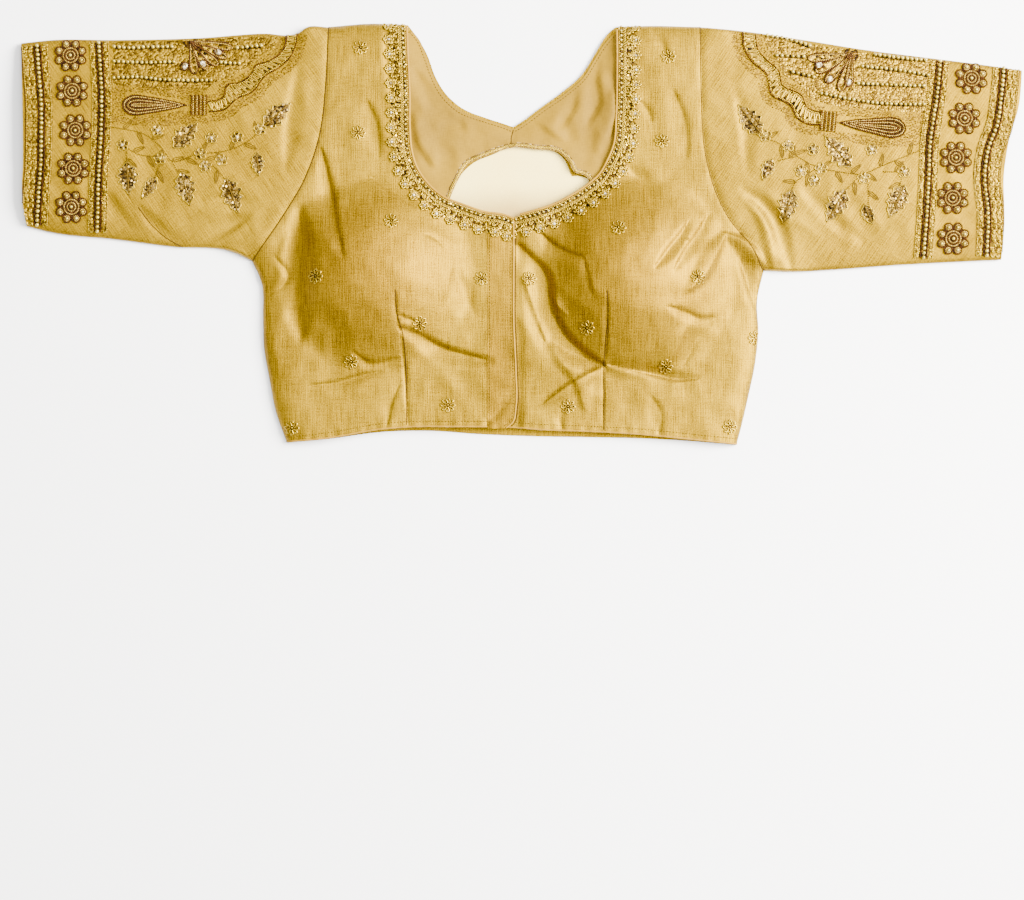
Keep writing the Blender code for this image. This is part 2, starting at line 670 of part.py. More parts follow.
def add_flower(name, centre, seat):
    radius = 0.5 * FLOWER_DIAMETER
    steps = 2 * FLOWER_PETALS

    def ring(share, first, every):
        turns = [2.0 * math.pi * (k + 0.5) / steps for k in range(first, steps, every)]
        return [(centre[0] + share * radius * math.cos(turn), centre[1] + share * radius * math.sin(turn))
                for turn in turns]

    tips = ring(1.0, 0, 2)
    notches = ring(0.84, 1, 2)
    outline = [point for pair in zip(tips, notches) for point in pair]
    inner = ring(0.66, 0, 2) + ring(0.36, 1, 2) + [centre]

    def rise(x, y):
        away = np.hypot(x - centre[0], y - centre[1]) / radius
        return np.interp(away, [0.0, 0.36, 0.66, 0.84, 1.0],
                         [FLOWER_CENTRE_RISE, FLOWER_VALLEY_RISE, FLOWER_PETAL_RISE, 0.9, 1.2])

    return add_sheet(name, outline, seat, rise, "bead_work", inner=inner)


def add_raised(name, outline, seat, rise, look, edge_run, cell):
    def depth(x, y):
        away = np.clip(distance_to(x, y, outline + outline[:1]) / edge_run, 0.0, 1.0)
        return 0.5 + (rise - 0.5) * np.sqrt(1.0 - (1.0 - away) ** 2)

    return add_sheet(name, outline, seat, depth, look, cell=cell)


def tassel_outline(tassel):
    start = np.array(tassel["round_end"], float)
    run = np.array(tassel["bound_end"], float) - start
    side = np.array([-run[1], run[0]]) / math.hypot(*run)
    one = [tuple(start + share * run + half * side) for share, half in TASSEL_WIDTHS]
    other = [tuple(start + share * run - half * side) for share, half in TASSEL_WIDTHS]
    return joined(one, other[::-1])


for side, sleeve_name, flowers, tassel, arch, lotus in (
        ("right", "sleeve_right", FLOWERS_RIGHT, TASSEL_RIGHT, ARCH_RIGHT, LOTUS_RIGHT),
        ("left", "sleeve_left", FLOWERS_LEFT, TASSEL_LEFT, ARCH_LEFT, LOTUS_LEFT)):
    seat = face_of(made[sleeve_name])
    for number, centre in enumerate(flowers, 1):
        add_flower(f"flower_{side}_{number}", centre, seat)
    add_raised(f"tassel_{side}", tassel_outline(tassel), seat, TASSEL_RISE, "bead_work", 7.0, 5.5)
    arch_outline = joined(resampled(fine_curve(arch["inner"]), 6.0), resampled(fine_curve(arch["outer"]), 6.0)[::-1])
    add_raised(f"arch_{side}", arch_outline, seat, ARCH_RISE, "gold_work", 3.0, 6.0)
    add_raised(f"lotus_{side}", joined(resampled(lotus + lotus[:1], 6.0)), seat, LOTUS_RISE, "bead_work", 5.0, 6.0)


# Set the blouse on the ground with its middle at the origin

corners = np.array([vert.co[:] for obj in made.values() for vert in obj.data.vertices])
middle = 0.5 * (corners.min(axis=0) + corners.max(axis=0))
shift = Vector((-middle[0], -middle[1], -corners[:, 2].min()))
for obj in made.values():
    for vert in obj.data.vertices:
        vert.co += shift
    obj.data.update()
print("nodes", len(made), "moved by", [round(value * 1000, 2) for value in shift])
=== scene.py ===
import json
import math

import bpy
import numpy as np
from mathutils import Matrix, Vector, noise
from mathutils.bvhtree import BVHTree
from mathutils.geometry import delaunay_2d_cdt

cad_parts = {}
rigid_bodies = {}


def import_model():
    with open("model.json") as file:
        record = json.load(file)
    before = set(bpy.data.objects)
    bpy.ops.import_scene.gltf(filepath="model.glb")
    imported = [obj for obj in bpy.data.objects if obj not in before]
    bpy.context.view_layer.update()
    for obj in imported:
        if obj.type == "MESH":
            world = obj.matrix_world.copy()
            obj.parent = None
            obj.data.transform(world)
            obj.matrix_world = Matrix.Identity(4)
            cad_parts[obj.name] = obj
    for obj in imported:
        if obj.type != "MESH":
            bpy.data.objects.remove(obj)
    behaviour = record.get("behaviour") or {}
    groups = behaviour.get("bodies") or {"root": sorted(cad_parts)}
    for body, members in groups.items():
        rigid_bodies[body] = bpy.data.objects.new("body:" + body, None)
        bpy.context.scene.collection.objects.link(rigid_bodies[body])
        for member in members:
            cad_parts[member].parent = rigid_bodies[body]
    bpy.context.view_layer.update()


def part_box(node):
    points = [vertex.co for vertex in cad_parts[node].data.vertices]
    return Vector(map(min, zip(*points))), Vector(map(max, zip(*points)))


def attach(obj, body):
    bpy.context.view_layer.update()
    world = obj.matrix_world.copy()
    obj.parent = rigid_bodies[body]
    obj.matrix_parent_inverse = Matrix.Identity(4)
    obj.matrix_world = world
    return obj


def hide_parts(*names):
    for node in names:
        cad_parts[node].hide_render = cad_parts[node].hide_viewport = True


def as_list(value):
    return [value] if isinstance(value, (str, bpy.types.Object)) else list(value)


# A choli blouse in gold silk, laid flat on its back with the front up.
# Every table is in millimetres on the blouse, x across and y toward the neck.
# Right and left are the wearer's, so the right sleeve lies at -x.

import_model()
mm = 0.001

# Outlines that the panels share
edges = {
    "armholeRight": [(-177, 190), (-179, 142), (-186, 86), (-200, 47), (-218, 17), (-247, -25)],
    "armholeLeft": [(165, 190), (166, 125), (169, 77), (178, 41), (191, 14), (211, -11), (223, -34)],
    "sideRight": [(-247, -25), (-238, -46), (-237, -75), (-236, -105), (-231, -134), (-225, -164), (-215, -192)],
    "sideLeft": [(223, -34), (217, -61), (218, -90), (215, -120), (209, -149), (203, -175), (198, -194)],
    "shoulderRight": [(-104, 192), (-139, 193), (-177, 190)],
    "shoulderLeft": [(87, 190), (119, 191), (165, 190)],
    "hemFrontRight": [(-215, -192), (-181, -189), (-126, -180), (-98, -178), (-62, -178), (-31, -178)],
    "hemFrontLeft": [(-22, -178), (-3, -179), (23, -181), (54, -182), (109, -185), (150, -189), (198, -194)],
    "hemBack": [(-215, -192), (-181, -189), (-126, -182), (-84, -181), (-39, -184), (12, -186), (67, -187),
                (109, -188), (150, -190), (198, -194)],
    "neckRight": [(-104, 192), (-103, 169), (-101, 123), (-101, 98), (-99, 75), (-95, 62), (-86, 48), (-68, 33),
                  (-55, 28), (-31, 20), (-16, 18), (-6, 14)],
    "neckLeft": [(-22, 17), (-10, 17), (9, 21), (28, 27), (46, 36), (61, 46), (71, 55), (78, 67), (84, 82),
                 (86, 105), (87, 151), (87, 190)],
    "neckBackRight": [(-104, 192), (-95, 180), (-86, 164), (-79, 145), (-71, 131), (-55, 116), (-31, 106),
                      (-14, 100.5), (-7, 98)],
    "neckBackLeft": [(-7, 98), (1, 103), (17, 115), (39, 131), (55, 145), (65, 160), (72, 172), (81, 185), (87, 190)],
}

# How the layers stand over each other
layers = {
    "backWall": 1.2,
    "seamGap": 0.3,
    "wall": 1.0,
    "bodyLoft": 8.5,
    "lowest": 3.4,
    "edgeRound": 26.0,
    "beadRoom": 2.0,
    "sleeveEdge": 2.8,
    "sleeveTop": 12.8,
    "placketDip": 2.6,
    "placketDipRun": 10.0,
    "placketX": -31.0,
    "pipingRadius": 1.1,
    "neckInset": 2.6,
    "clear": 0.2,
    "net": (3.2, 3.5),
    "lining": (3.7, 0.7),
    "patch": (2.0, 2.9),
}

# Padded cups: x, y, radius across, radius along, rise
cups = [
    (-134, -34, 92, 86, 30),
    (108, -37, 92, 90, 33),
]

# Creases: points on the fold, reach, rise and steep side (1 is left of the way it runs, -1 right, 0 even)
creases = [
    ([(-183, 78), (-178, 56), (-174, 36), (-164, -11), (-161, -22)], 12, -3.4, 1),
    ([(-203, 22), (-203, -21), (-203, -55), (-202, -95)], 25, -6.5, 0),
    ([(-214, 0), (-219, -21), (-222, -44), (-228, -56), (-237, -64)], 8, 1.2, 0),
    ([(-225, -22), (-214, -40), (-232, -58)], 6, -1.8, 0),
    ([(-196, -60), (-178, -78), (-168, -96), (-173, -113)], 20, -2.6, 0),
    ([(-153, -108), (-140, -118), (-111, -114)], 7, -2.4, 1),
    ([(-193, -139), (-171, -137), (-150, -131), (-127, -126)], 7, -2.2, 1),
    ([(-112, -75), (-94, -82)], 5, -1.8, 1),
    ([(-111, -86), (-94, -93), (-73, -105), (-45, -113), (-26, -117)], 12, -4.9, 1),
    ([(-61, -34), (-52, -54), (-43, -74)], 11, -1.3, 0),
    ([(-61, -21), (-66, -42), (-70, -67)], 5, 0.8, 1),
    ([(-10, -147), (-22, -162), (-34, -177)], 7, -2.2, -1),
    ([(-139, 52), (-117, 36), (-97, 22)], 6, -1.6, -1),
    ([(-88, -2), (-78, -6), (-70, -14)], 4, -1.0, 0),
    ([(-140, 120), (-132, 96), (-130, 70)], 12, -2.0, 1),
    ([(-125, 185), (-122, 150), (-118, 118)], 10, -1.6, -1),
    ([(-112, -140), (-120, -160), (-122, -176)], 7, -1.6, 1),
    ([(15, 4), (29, -10), (42, -18), (57, -23)], 8, -3.0, 1),
    ([(57, -23), (61, -40), (65, -58)], 5, -1.4, 1),
    ([(-1, -11), (9, -23), (20, -36), (26, -72), (38, -94), (57, -110), (76, -121)], 21, -10.0, 1),
    ([(4, -44), (13, -70), (22, -98)], 11, 3.2, -1),
    ([(20, -42), (30, -62), (42, -75)], 6, 1.8, -1),
    ([(32, -100), (48, -108), (65, -118)], 6, -1.6, 1),
    ([(76, -122), (60, -131), (48, -138), (22, -156)], 9, 3.6, -1),
    ([(18, -84), (34, -112), (52, -136), (58, -160)], 16, 3.0, -1),
    ([(78, -120), (98, -124), (121, -129), (144, -134), (163, -133)], 9, -3.4, -1),
    ([(134, -68), (150, -73), (163, -78), (175, -76)], 8, -3.0, 1),
    ([(121, -33), (134, -16), (147, 1), (152, 10)], 9, -4.0, 1),
    ([(139, -34), (150, -16), (163, 2), (170, 16)], 9, -3.6, 1),
    ([(186, -3), (178, -19), (165, -42), (152, -54)], 12, 6.0, 1),
    ([(186, 0), (209, -11), (225, -31)], 10, 5.0, 1),
    ([(200, -24), (209, -46), (216, -72)], 14, -5.0, -1),
    ([(150, -88), (140, -108), (124, -124)], 12, 2.6, 1),
    ([(176, -80), (160, -98), (150, -120)], 12, -2.6, 1),
    ([(117, 188), (129, 175), (134, 160)], 7, -1.6, 0),
    ([(108, 122), (116, 112), (120, 102)], 6, -1.4, 0),
    ([(98, 60), (112, 44), (120, 24)], 12, -2.2, -1),
    ([(140, 130), (150, 100), (152, 70)], 14, -2.2, 1),
    ([(40, -160), (36, -172), (38, -180)], 6, -1.4, 0),
    ([(120, -150), (128, -168), (126, -184)], 12, -1.6, 1),
    ([(-114, -54), (-113, -75), (-110, -90)], 3.2, -1.5, 1),
    ([(-111, -88), (-107, -130), (-104, -178)], 3.2, -1.4, -1),
    ([(78, -54), (79, -75), (77, -121)], 3.2, -1.7, 1),
    ([(76, -121), (76, -150), (76, -181)], 3.0, -1.1, 1),
    ([(-351, 24), (-340, 9), (-328, -2), (-308, -13)], 8, -3.0, -1),
    ([(-380, 36), (-366, 16), (-356, 4)], 14, -2.4, 1),
    ([(-290, -10), (-268, 4), (-250, 14)], 12, -3.4, -1),
    ([(-298, 28), (-268, 34), (-240, 28)], 10, -1.8, 1),
    ([(-216, 60), (-214, 100), (-206, 150)], 12, -2.2, 1),
    ([(203, 38), (219, 30), (234, 9), (242, -12), (248, -34)], 12, -4.4, 0),
    ([(206, 28), (219, 16), (227, -6), (231, -30)], 9, 2.8, 0),
    ([(255, 44), (275, 24), (300, 1), (316, -10)], 12, -1.8, 0),
    ([(340, 4), (318, -8), (300, -24)], 10, -2.0, 1),
    ([(196, 130), (204, 96), (206, 60)], 12, -2.4, -1),
]
crumples = {"across": 30.0, "along": 42.0, "depth": 1.9, "fineAcross": 13.0, "fineDepth": 0.58}


# Lines and areas on the flat

def resampled(line, step):
    line = np.asarray(line, float)
    length = np.concatenate([[0.0], np.cumsum(np.linalg.norm(np.diff(line, axis=0), axis=1))])
    count = max(1, int(round(length[-1] / step)))
    at = np.linspace(0.0, length[-1], count + 1)
    return np.column_stack([np.interp(at, length, line[:, k]) for k in range(line.shape[1])])


def fineCurve(rows):
    rows = np.asarray(rows, float)
    runs = np.hypot(*np.diff(rows, axis=0).T)
    slopes = np.diff(rows, axis=0) / runs[:, None]
    tangents = np.empty_like(rows)
    tangents[0], tangents[-1] = slopes[0], slopes[-1]
    for k in range(1, len(rows) - 1):
        share = runs[k] / (runs[k - 1] + runs[k])
        tangents[k] = slopes[k - 1] * share + slopes[k] * (1.0 - share)
    line = []
    for k, run in enumerate(runs):
        for t in np.linspace(0.0, 1.0, 10, endpoint=False):
            line.append((2 * t ** 3 - 3 * t ** 2 + 1) * rows[k] + (t ** 3 - 2 * t ** 2 + t) * run * tangents[k]
                        + (3 * t ** 2 - 2 * t ** 3) * rows[k + 1] + (t ** 3 - t ** 2) * run * tangents[k + 1])
    return np.array(line + [rows[-1]])


def curveOf(rows, step=3.0):
    return resampled(fineCurve(rows), step)


# The same line moved to its left when the distance is positive
def movedAside(line, distance):
    line = np.asarray(line, float)
    along = np.gradient(line, axis=0)
    along /= np.hypot(along[:, 0], along[:, 1])[:, None]
    return line + np.broadcast_to(distance, len(line))[:, None] * np.column_stack([-along[:, 1], along[:, 0]])


def joined(*lines):
    points = []
    for line in lines:
        for point in line:
            if not points or math.hypot(point[0] - points[-1][0], point[1] - points[-1][1]) > 0.05:
                points.append((float(point[0]), float(point[1])))
    if math.hypot(points[0][0] - points[-1][0], points[0][1] - points[-1][1]) < 0.05:
        points.pop()
    return points


def distanceTo(x, y, line):
    line = np.asarray(line, float)
    best = np.full(np.shape(x), 1e9)
    for start, end in zip(line[:-1], line[1:]):
        run = end - start
        share = np.clip(((x - start[0]) * run[0] + (y - start[1]) * run[1]) / max(run @ run, 1e-9), 0.0, 1.0)
        best = np.minimum(best, np.hypot(x - start[0] - share * run[0], y - start[1] - share * run[1]))
    return best


def inside(x, y, loop):
    hit = np.zeros(np.shape(x), bool)
    for (ax, ay), (bx, by) in zip(loop, loop[1:] + loop[:1]):
        if ay != by:
            hit ^= ((ay > y) != (by > y)) & (x < (bx - ax) * (y - ay) / (by - ay) + ax)
    return hit


def smoothStep(t):
    t = np.clip(t, 0.0, 1.0)
    return t * t * (3.0 - 2.0 * t)


def cutAtX(line, x, keepBelow):
    kept = []
    for a, b in zip(line[:-1], line[1:]):
        aIn, bIn = (a[0] <= x) == keepBelow, (b[0] <= x) == keepBelow
        if aIn:
            kept.append(tuple(a))
        if aIn != bIn:
            kept.append((x, a[1] + (x - a[0]) / (b[0] - a[0]) * (b[1] - a[1])))
        if bIn:
            kept.append(tuple(b))
    return kept


curves = {name: curveOf(rows) for name, rows in edges.items()}
curves["neckBack"] = np.array(joined(curves["neckBackRight"], curves["neckBackLeft"]))
shift = Vector(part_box("back_panel")[0]) - Vector((min(x for x, y in edges["armholeRight"]),
                                                  min(y for x, y in edges["sideLeft"]), 0.0)) * mm
shift.z = 0.0


# Height of the cloth

def creaseHeight(x, y, table=creases):
    height = np.zeros(np.shape(x))
    for rows, reach, rise, steep in table:
        path = resampled(fineCurve(rows), 3.0)
        lows, highs = path.min(axis=0) - 1.5 * reach, path.max(axis=0) + 1.5 * reach
        near = (x > lows[0]) & (x < highs[0]) & (y > lows[1]) & (y < highs[1])
        if not near.any():
            continue
        px, py = x[near], y[near]
        best, share, side = np.full(len(px), 1e9), np.zeros(len(px)), np.ones(len(px))
        for k, (start, end) in enumerate(zip(path[:-1], path[1:])):
            run = end - start
            t = np.clip(((px - start[0]) * run[0] + (py - start[1]) * run[1]) / (run @ run), 0.0, 1.0)
            offX, offY = px - start[0] - t * run[0], py - start[1] - t * run[1]
            away = np.hypot(offX, offY)
            nearer = away < best
            best = np.where(nearer, away, best)
            share = np.where(nearer, (k + t) / (len(path) - 1), share)
            side = np.where(nearer, np.sign(run[0] * offY - run[1] * offX), side)
        spindle = 0.3 + 0.7 * np.sin(math.pi * share) ** 0.8
        wide = reach * spindle * np.where(side * steep > 0, 0.45, np.where(side * steep < 0, 1.35, 0.9))
        height[near] += rise * spindle * np.clip(1.0 - (best / wide) ** 2, 0.0, None) ** 2
    return height


def cupHeight(x, y):
    height = np.zeros(np.shape(x))
    for cx, cy, across, along, rise in cups:
        away = np.hypot((x - cx) / across, (y - cy) / along * np.where(y < cy, 0.9, 1.0))
        height += rise * np.clip(1.0 - away ** 2.5, 0.0, None) ** 1.8
    return height


# Crumpled silk: soft cells with crisp folds between them
def crumpleHeight(x, y, seed=0.0):
    values = []
    for px, py in zip(np.ravel(x), np.ravel(y)):
        place = Vector(((px + 0.4 * py) / crumples["across"], (py - 0.3 * px) / crumples["along"], seed))
        fine = Vector((px / crumples["fineAcross"], py / crumples["fineAcross"], seed + 7.0))
        values.append(crumples["depth"] * (0.35 - abs(noise.noise(place)))
                      + crumples["fineDepth"] * noise.noise(fine))
    return np.array(values).reshape(np.shape(x))


seamsPinned = [resampled(curves[name], 12.0) for name in ("sideRight", "sideLeft", "shoulderRight", "shoulderLeft")]
armholes = [resampled(curves[name], 12.0) for name in ("armholeRight", "armholeLeft")]
hemFront = np.vstack([resampled(curves["hemFrontRight"], 12.0), resampled(curves["hemFrontLeft"], 12.0)])


def seamLift(x, y):
    away = np.min([distanceTo(x, y, seam) for seam in seamsPinned], axis=0)
    return np.sqrt(1.0 - (1.0 - np.clip(away / layers["edgeRound"], 0.0, 1.0)) ** 2)


def frontUnder(x, y):
    lift = seamLift(x, y)
    groove = np.min([distanceTo(x, y, line) for line in armholes], axis=0)
    hem = distanceTo(x, y, hemFront)
    puckers = 0.5 * np.sin(x / 1.7 + 2.0 * np.sin(x / 23.0)) * np.clip(1.0 - hem / 11.0, 0.0, 1.0)
    height = layers["bodyLoft"] + cupHeight(x, y) + creaseHeight(x, y) + crumpleHeight(x, y) + puckers
    height = layers["lowest"] + np.logaddexp(0.0, (height - layers["lowest"]) / 0.8) * 0.8
    return layers["backWall"] + layers["seamGap"] + height * lift - 0.9 * np.exp(-(groove / 2.4) ** 2) * lift


def leftFrontUnder(x, y):
    return frontUnder(x, y) - layers["placketDip"] * smoothStep((6.0 - x) / layers["placketDipRun"])


# Room under the back and the sleeves for the bead work that they lie on
window = [(-8, 75), (-24, 67), (-39, 61), (-51, 50), (-59, 37), (-74, 35), (-88, 27), (-96, 16), (-105, -1),
          (-112, -21), (-114, -60), (-114, -111)]
windowOtherHalf = [(107, -105), (107, -60), (104, -21), (99, -5), (93, 11), (81, 29), (69, 40), (53, 47),
                   (41, 48), (40, 52), (33, 67), (16, 74), (-8, 75)]
windowLoop = joined(curveOf(window), curveOf([window[-1], windowOtherHalf[0]]), curveOf(windowOtherHalf))
borderLines = [resampled(windowLoop + windowLoop[:1], 10.0), resampled(curves["neckBack"], 10.0)]
shoulders = [resampled(curves[name], 12.0) for name in ("shoulderRight", "shoulderLeft")]
backSprigs = [(126, 166.5), (-132.5, 156), (74, 102), (-93.5, 94.5), (136, 59.5), (-136, 51), (165.5, -5),
              (-156.5, -12.5), (199.5, -70), (150, -93), (-219.5, -86), (-156.5, -107.5), (106, -132),
              (-1.5, -135.5), (-109.5, -139.5), (190, -163.5), (51, -161), (-57.5, -166), (-206.5, -177.5)]


backRoom = {"borderReach": 34.0, "borderRun": 16.0, "shoulderRun": 22.0, "sprigReach": 15.0, "sprigRun": 7.0,
            "sprigShare": 0.7}


def backUnder(x, y):
    near = np.min([distanceTo(x, y, line) for line in borderLines], axis=0)
    shoulder = np.min([distanceTo(x, y, line) for line in shoulders], axis=0)
    border = smoothStep((backRoom["borderReach"] - near) / backRoom["borderRun"])
    border = border * smoothStep(shoulder / backRoom["shoulderRun"])
    spot = np.min([np.hypot(x - sprigX, y - sprigY) for sprigX, sprigY in backSprigs], axis=0)
    atSprig = smoothStep((backRoom["sprigReach"] - spot) / backRoom["sprigRun"])
    raised = np.maximum(border, backRoom["sprigShare"] * atSprig)
    return layers["clear"] + (layers["beadRoom"] - layers["clear"]) * raised


# Making meshes

def meshPiece(name, points, faces, uv=None):
    mesh = bpy.data.meshes.new(name)
    placed = np.asarray(points, float) * mm + np.array(shift)
    mesh.from_pydata(placed.tolist(), [], faces)
    if uv is not None:
        layer = mesh.uv_layers.new(name="cloth")
        corner = np.empty(len(mesh.loops), int)
        mesh.loops.foreach_get("vertex_index", corner)
        flat = np.asarray(uv, float)[corner] * mm
        layer.data.foreach_set("uv", flat.ravel())
    mesh.shade_smooth()
    mesh.set_sharp_from_angle(angle=math.radians(55.0))
    piece = bpy.data.objects.new(name, mesh)
    bpy.context.scene.collection.objects.link(piece)
    return piece


def triangles(outline, holes, inner):
    points, borders = [], []
    for loop in [list(outline)] + [list(hole) for hole in holes]:
        first = len(points)
        points += loop
        borders += [(first + k, first + (k + 1) % len(loop)) for k in range(len(loop))]
    points += [tuple(point) for point in inner]
    found = delaunay_2d_cdt([Vector(point) for point in points], borders, [], 0, 1e-5)
    flat = np.array([tuple(vert) for vert in found[0]])
    faces = np.array([tuple(face) for face in found[2]])
    a, b, c = flat[faces[:, 0]], flat[faces[:, 1]], flat[faces[:, 2]]
    turned = (b[:, 0] - a[:, 0]) * (c[:, 1] - a[:, 1]) - (c[:, 0] - a[:, 0]) * (b[:, 1] - a[:, 1]) < 0
    faces[turned] = faces[turned][:, ::-1]
    middle = flat[faces].mean(axis=1)
    keep = inside(middle[:, 0], middle[:, 1], list(outline))
    for hole in holes:
        keep &= ~inside(middle[:, 0], middle[:, 1], list(hole))
    faces = faces[keep]
    used, faces = np.unique(faces, return_inverse=True)
    return flat[used], faces.reshape(-1, 3)


def gridInside(outline, holes, cell, clearance):
    loop = np.array(outline)
    rows = []
    for k, y in enumerate(np.arange(loop[:, 1].min(), loop[:, 1].max(), cell * 0.866)):
        xs = np.arange(loop[:, 0].min() + (k % 2) * cell / 2.0, loop[:, 0].max(), cell)
        rows.append(np.column_stack([xs, np.full(len(xs), y)]))
    grid = np.vstack(rows)
    good = inside(grid[:, 0], grid[:, 1], list(outline))
    for line in [list(outline)] + [list(hole) for hole in holes]:
        good &= distanceTo(grid[:, 0], grid[:, 1], line + line[:1]) > clearance
    for hole in holes:
        good &= ~inside(grid[:, 0], grid[:, 1], list(hole))
    return grid[good]


# A cloth wall over an outline, between a lower and an upper height
def clothPiece(name, outline, lower, upper, cell=3.0, holes=(), followCreases=False):
    inner = gridInside(outline, holes, cell, 0.55 * cell)
    if followCreases:
        extra = np.vstack([movedAside(resampled(fineCurve(rows), 2.4), aside)
                           for rows, reach, rise, steep in creases for aside in (-1.5, -0.5, 0.5, 1.5)])
        loop = list(outline) + list(outline[:1])
        good = inside(extra[:, 0], extra[:, 1], list(outline)) & (distanceTo(extra[:, 0], extra[:, 1], loop) > 1.2)
        inner = np.vstack([inner, extra[good]])
    flat, faces = triangles(outline, holes, inner)
    x, y = flat[:, 0], flat[:, 1]
    points = np.vstack([np.column_stack([x, y, lower(x, y)]), np.column_stack([x, y, upper(x, y)])])
    count = len(flat)
    solid = [tuple(face) for face in faces[:, ::-1]] + [tuple(face) for face in faces + count]
    rim = {(a, b) for face in faces.tolist() for a, b in zip(face, face[1:] + face[:1])}
    solid += [(a, b, b + count, a + count) for a, b in sorted(rim) if (b, a) not in rim]
    return meshPiece(name, points, solid, np.vstack([flat, flat]))


def cordPiece(name, path, radius, sides=12):
    path = np.asarray(path, float)
    along = np.gradient(path, axis=0)
    along /= np.linalg.norm(along, axis=1)[:, None]
    across = np.cross(along, (0.0, 0.0, 1.0))
    across /= np.linalg.norm(across, axis=1)[:, None]
    up = np.cross(across, along)
    points, uv, faces = [], [], []
    length = np.concatenate([[0.0], np.cumsum(np.linalg.norm(np.diff(path, axis=0), axis=1))])
    for k in range(len(path)):
        for j in range(sides):
            turn = 2.0 * math.pi * j / sides
            points.append(path[k] + radius * (math.cos(turn) * across[k] + math.sin(turn) * up[k]))
            uv.append((length[k], j * radius))
    for k in range(len(path) - 1):
        for j in range(sides):
            a, b = k * sides + j, k * sides + (j + 1) % sides
            faces.append((a, a + sides, b + sides, b))
    last = (len(path) - 1) * sides
    faces += [tuple(range(sides)), tuple(reversed(range(last, last + sides)))]
    return meshPiece(name, points, faces, uv)


# Height of a piece's upper or lower face under a point, as seen from above or below
def faceHeight(piece, fromAbove=True):
    corners = [(Vector(vert.co) - shift) / mm for vert in piece.data.vertices]
    tree = BVHTree.FromPolygons(corners, [tuple(poly.vertices) for poly in piece.data.polygons])
    start, way = (300.0, -1.0) if fromAbove else (-300.0, 1.0)

    def height(x, y):
        found = []
        for px, py in zip(np.ravel(x), np.ravel(y)):
            hit = tree.ray_cast(Vector((px, py, start)), Vector((0.0, 0.0, way)))[0]
            found.append(hit.z if hit else np.nan)
        return np.array(found)

    return height


# Shader maths as plain expressions

class Wire:
    def __init__(self, paint, socket):
        self.paint, self.socket = paint, socket

    def sum(self, operation, a, b=None):
        return self.paint.add("ShaderNodeMath", {"operation": operation}, {0: a} if b is None else {0: a, 1: b})

    def __add__(self, other):
        return self.sum("ADD", self, other)

    __radd__ = __add__

    def __sub__(self, other):
        return self.sum("SUBTRACT", self, other)

    def __rsub__(self, other):
        return self.sum("SUBTRACT", other, self)

    def __mul__(self, other):
        return self.sum("MULTIPLY", self, other)

    __rmul__ = __mul__


class Paint:
    def __init__(self, name, roughness=0.5, metallic=0.0):
        self.material = bpy.data.materials.new(name)
        self.material.use_nodes = True
        self.tree = self.material.node_tree
        self.shader = self.tree.nodes["Principled BSDF"]
        self.set("Roughness", roughness)
        self.set("Metallic", metallic)

    def add(self, kind, settings, values, out=0):
        node = self.tree.nodes.new(kind)
        for key, value in settings.items():
            if key == "stops":
                ramp = node.color_ramp
                while len(ramp.elements) < len(value):
                    ramp.elements.new(0.5)
                for element, (place, colour) in zip(ramp.elements, value):
                    element.position, element.color = place, (*colour, 1.0)
            else:
                setattr(node, key, value)
        for key, value in values.items():
            self.plug(node.inputs[key], value)
        return Wire(self, node.outputs[out])

    def plug(self, socket, value):
        if isinstance(value, Wire):
            self.tree.links.new(value.socket, socket)
        elif isinstance(value, tuple) and len(value) == 3 and socket.type == "RGBA":
            socket.default_value = (*value, 1.0)
        else:
            socket.default_value = value

    def set(self, name, value):
        self.plug(self.shader.inputs[name], value)

    def mixed(self, factor, a, b, mode="MIX"):
        return self.add("ShaderNodeMix", {"data_type": "RGBA", "blend_type": mode}, {0: factor, 6: a, 7: b}, 2)

    def cloth(self, across, along):
        uv = self.add("ShaderNodeUVMap", {"uv_map": "cloth"}, {})
        return self.add("ShaderNodeVectorMath", {"operation": "MULTIPLY"}, {0: uv, 1: (across, along, 1.0)})

    def noise(self, where, scale, detail=2.0, rough=0.5):
        return self.add("ShaderNodeTexNoise", {}, {"Vector": where, "Scale": scale, "Detail": detail,
                                                    "Roughness": rough})

    def objectPlace(self):
        return self.add("ShaderNodeTexCoord", {}, {}, 3)

    def bump(self, height, distance, strength=1.0):
        self.set("Normal", self.add("ShaderNodeBump", {}, {"Height": height, "Distance": distance,
                                                           "Strength": strength}))

    def ramp(self, value, *stops):
        return self.add("ShaderNodeValToRGB", {"stops": stops}, {0: value})


# The lamps keep the floor near white, so every paint is held down a little
paintDepth = 0.65


def deep(colour):
    return tuple(paintDepth * channel for channel in colour)


silkLook = {
    "light": (0.52, 0.318, 0.001),
    "mid": (0.31, 0.178, 0.0),
    "dark": (0.115, 0.06, 0.0),
    # colour painted on the cups as the tint of their highlights
    "cupHighlightColour": (1.0, 0.93, 0.7),
    "roughness": 0.57,
    "metallic": 0.75,
    "ribsPerMetre": 480.0,
    "threadsPerMetre": 1150.0,
    "slubsPerMetre": 45.0,
    "contrast": 3.1,
    "bumpDepth": 0.0003,
}


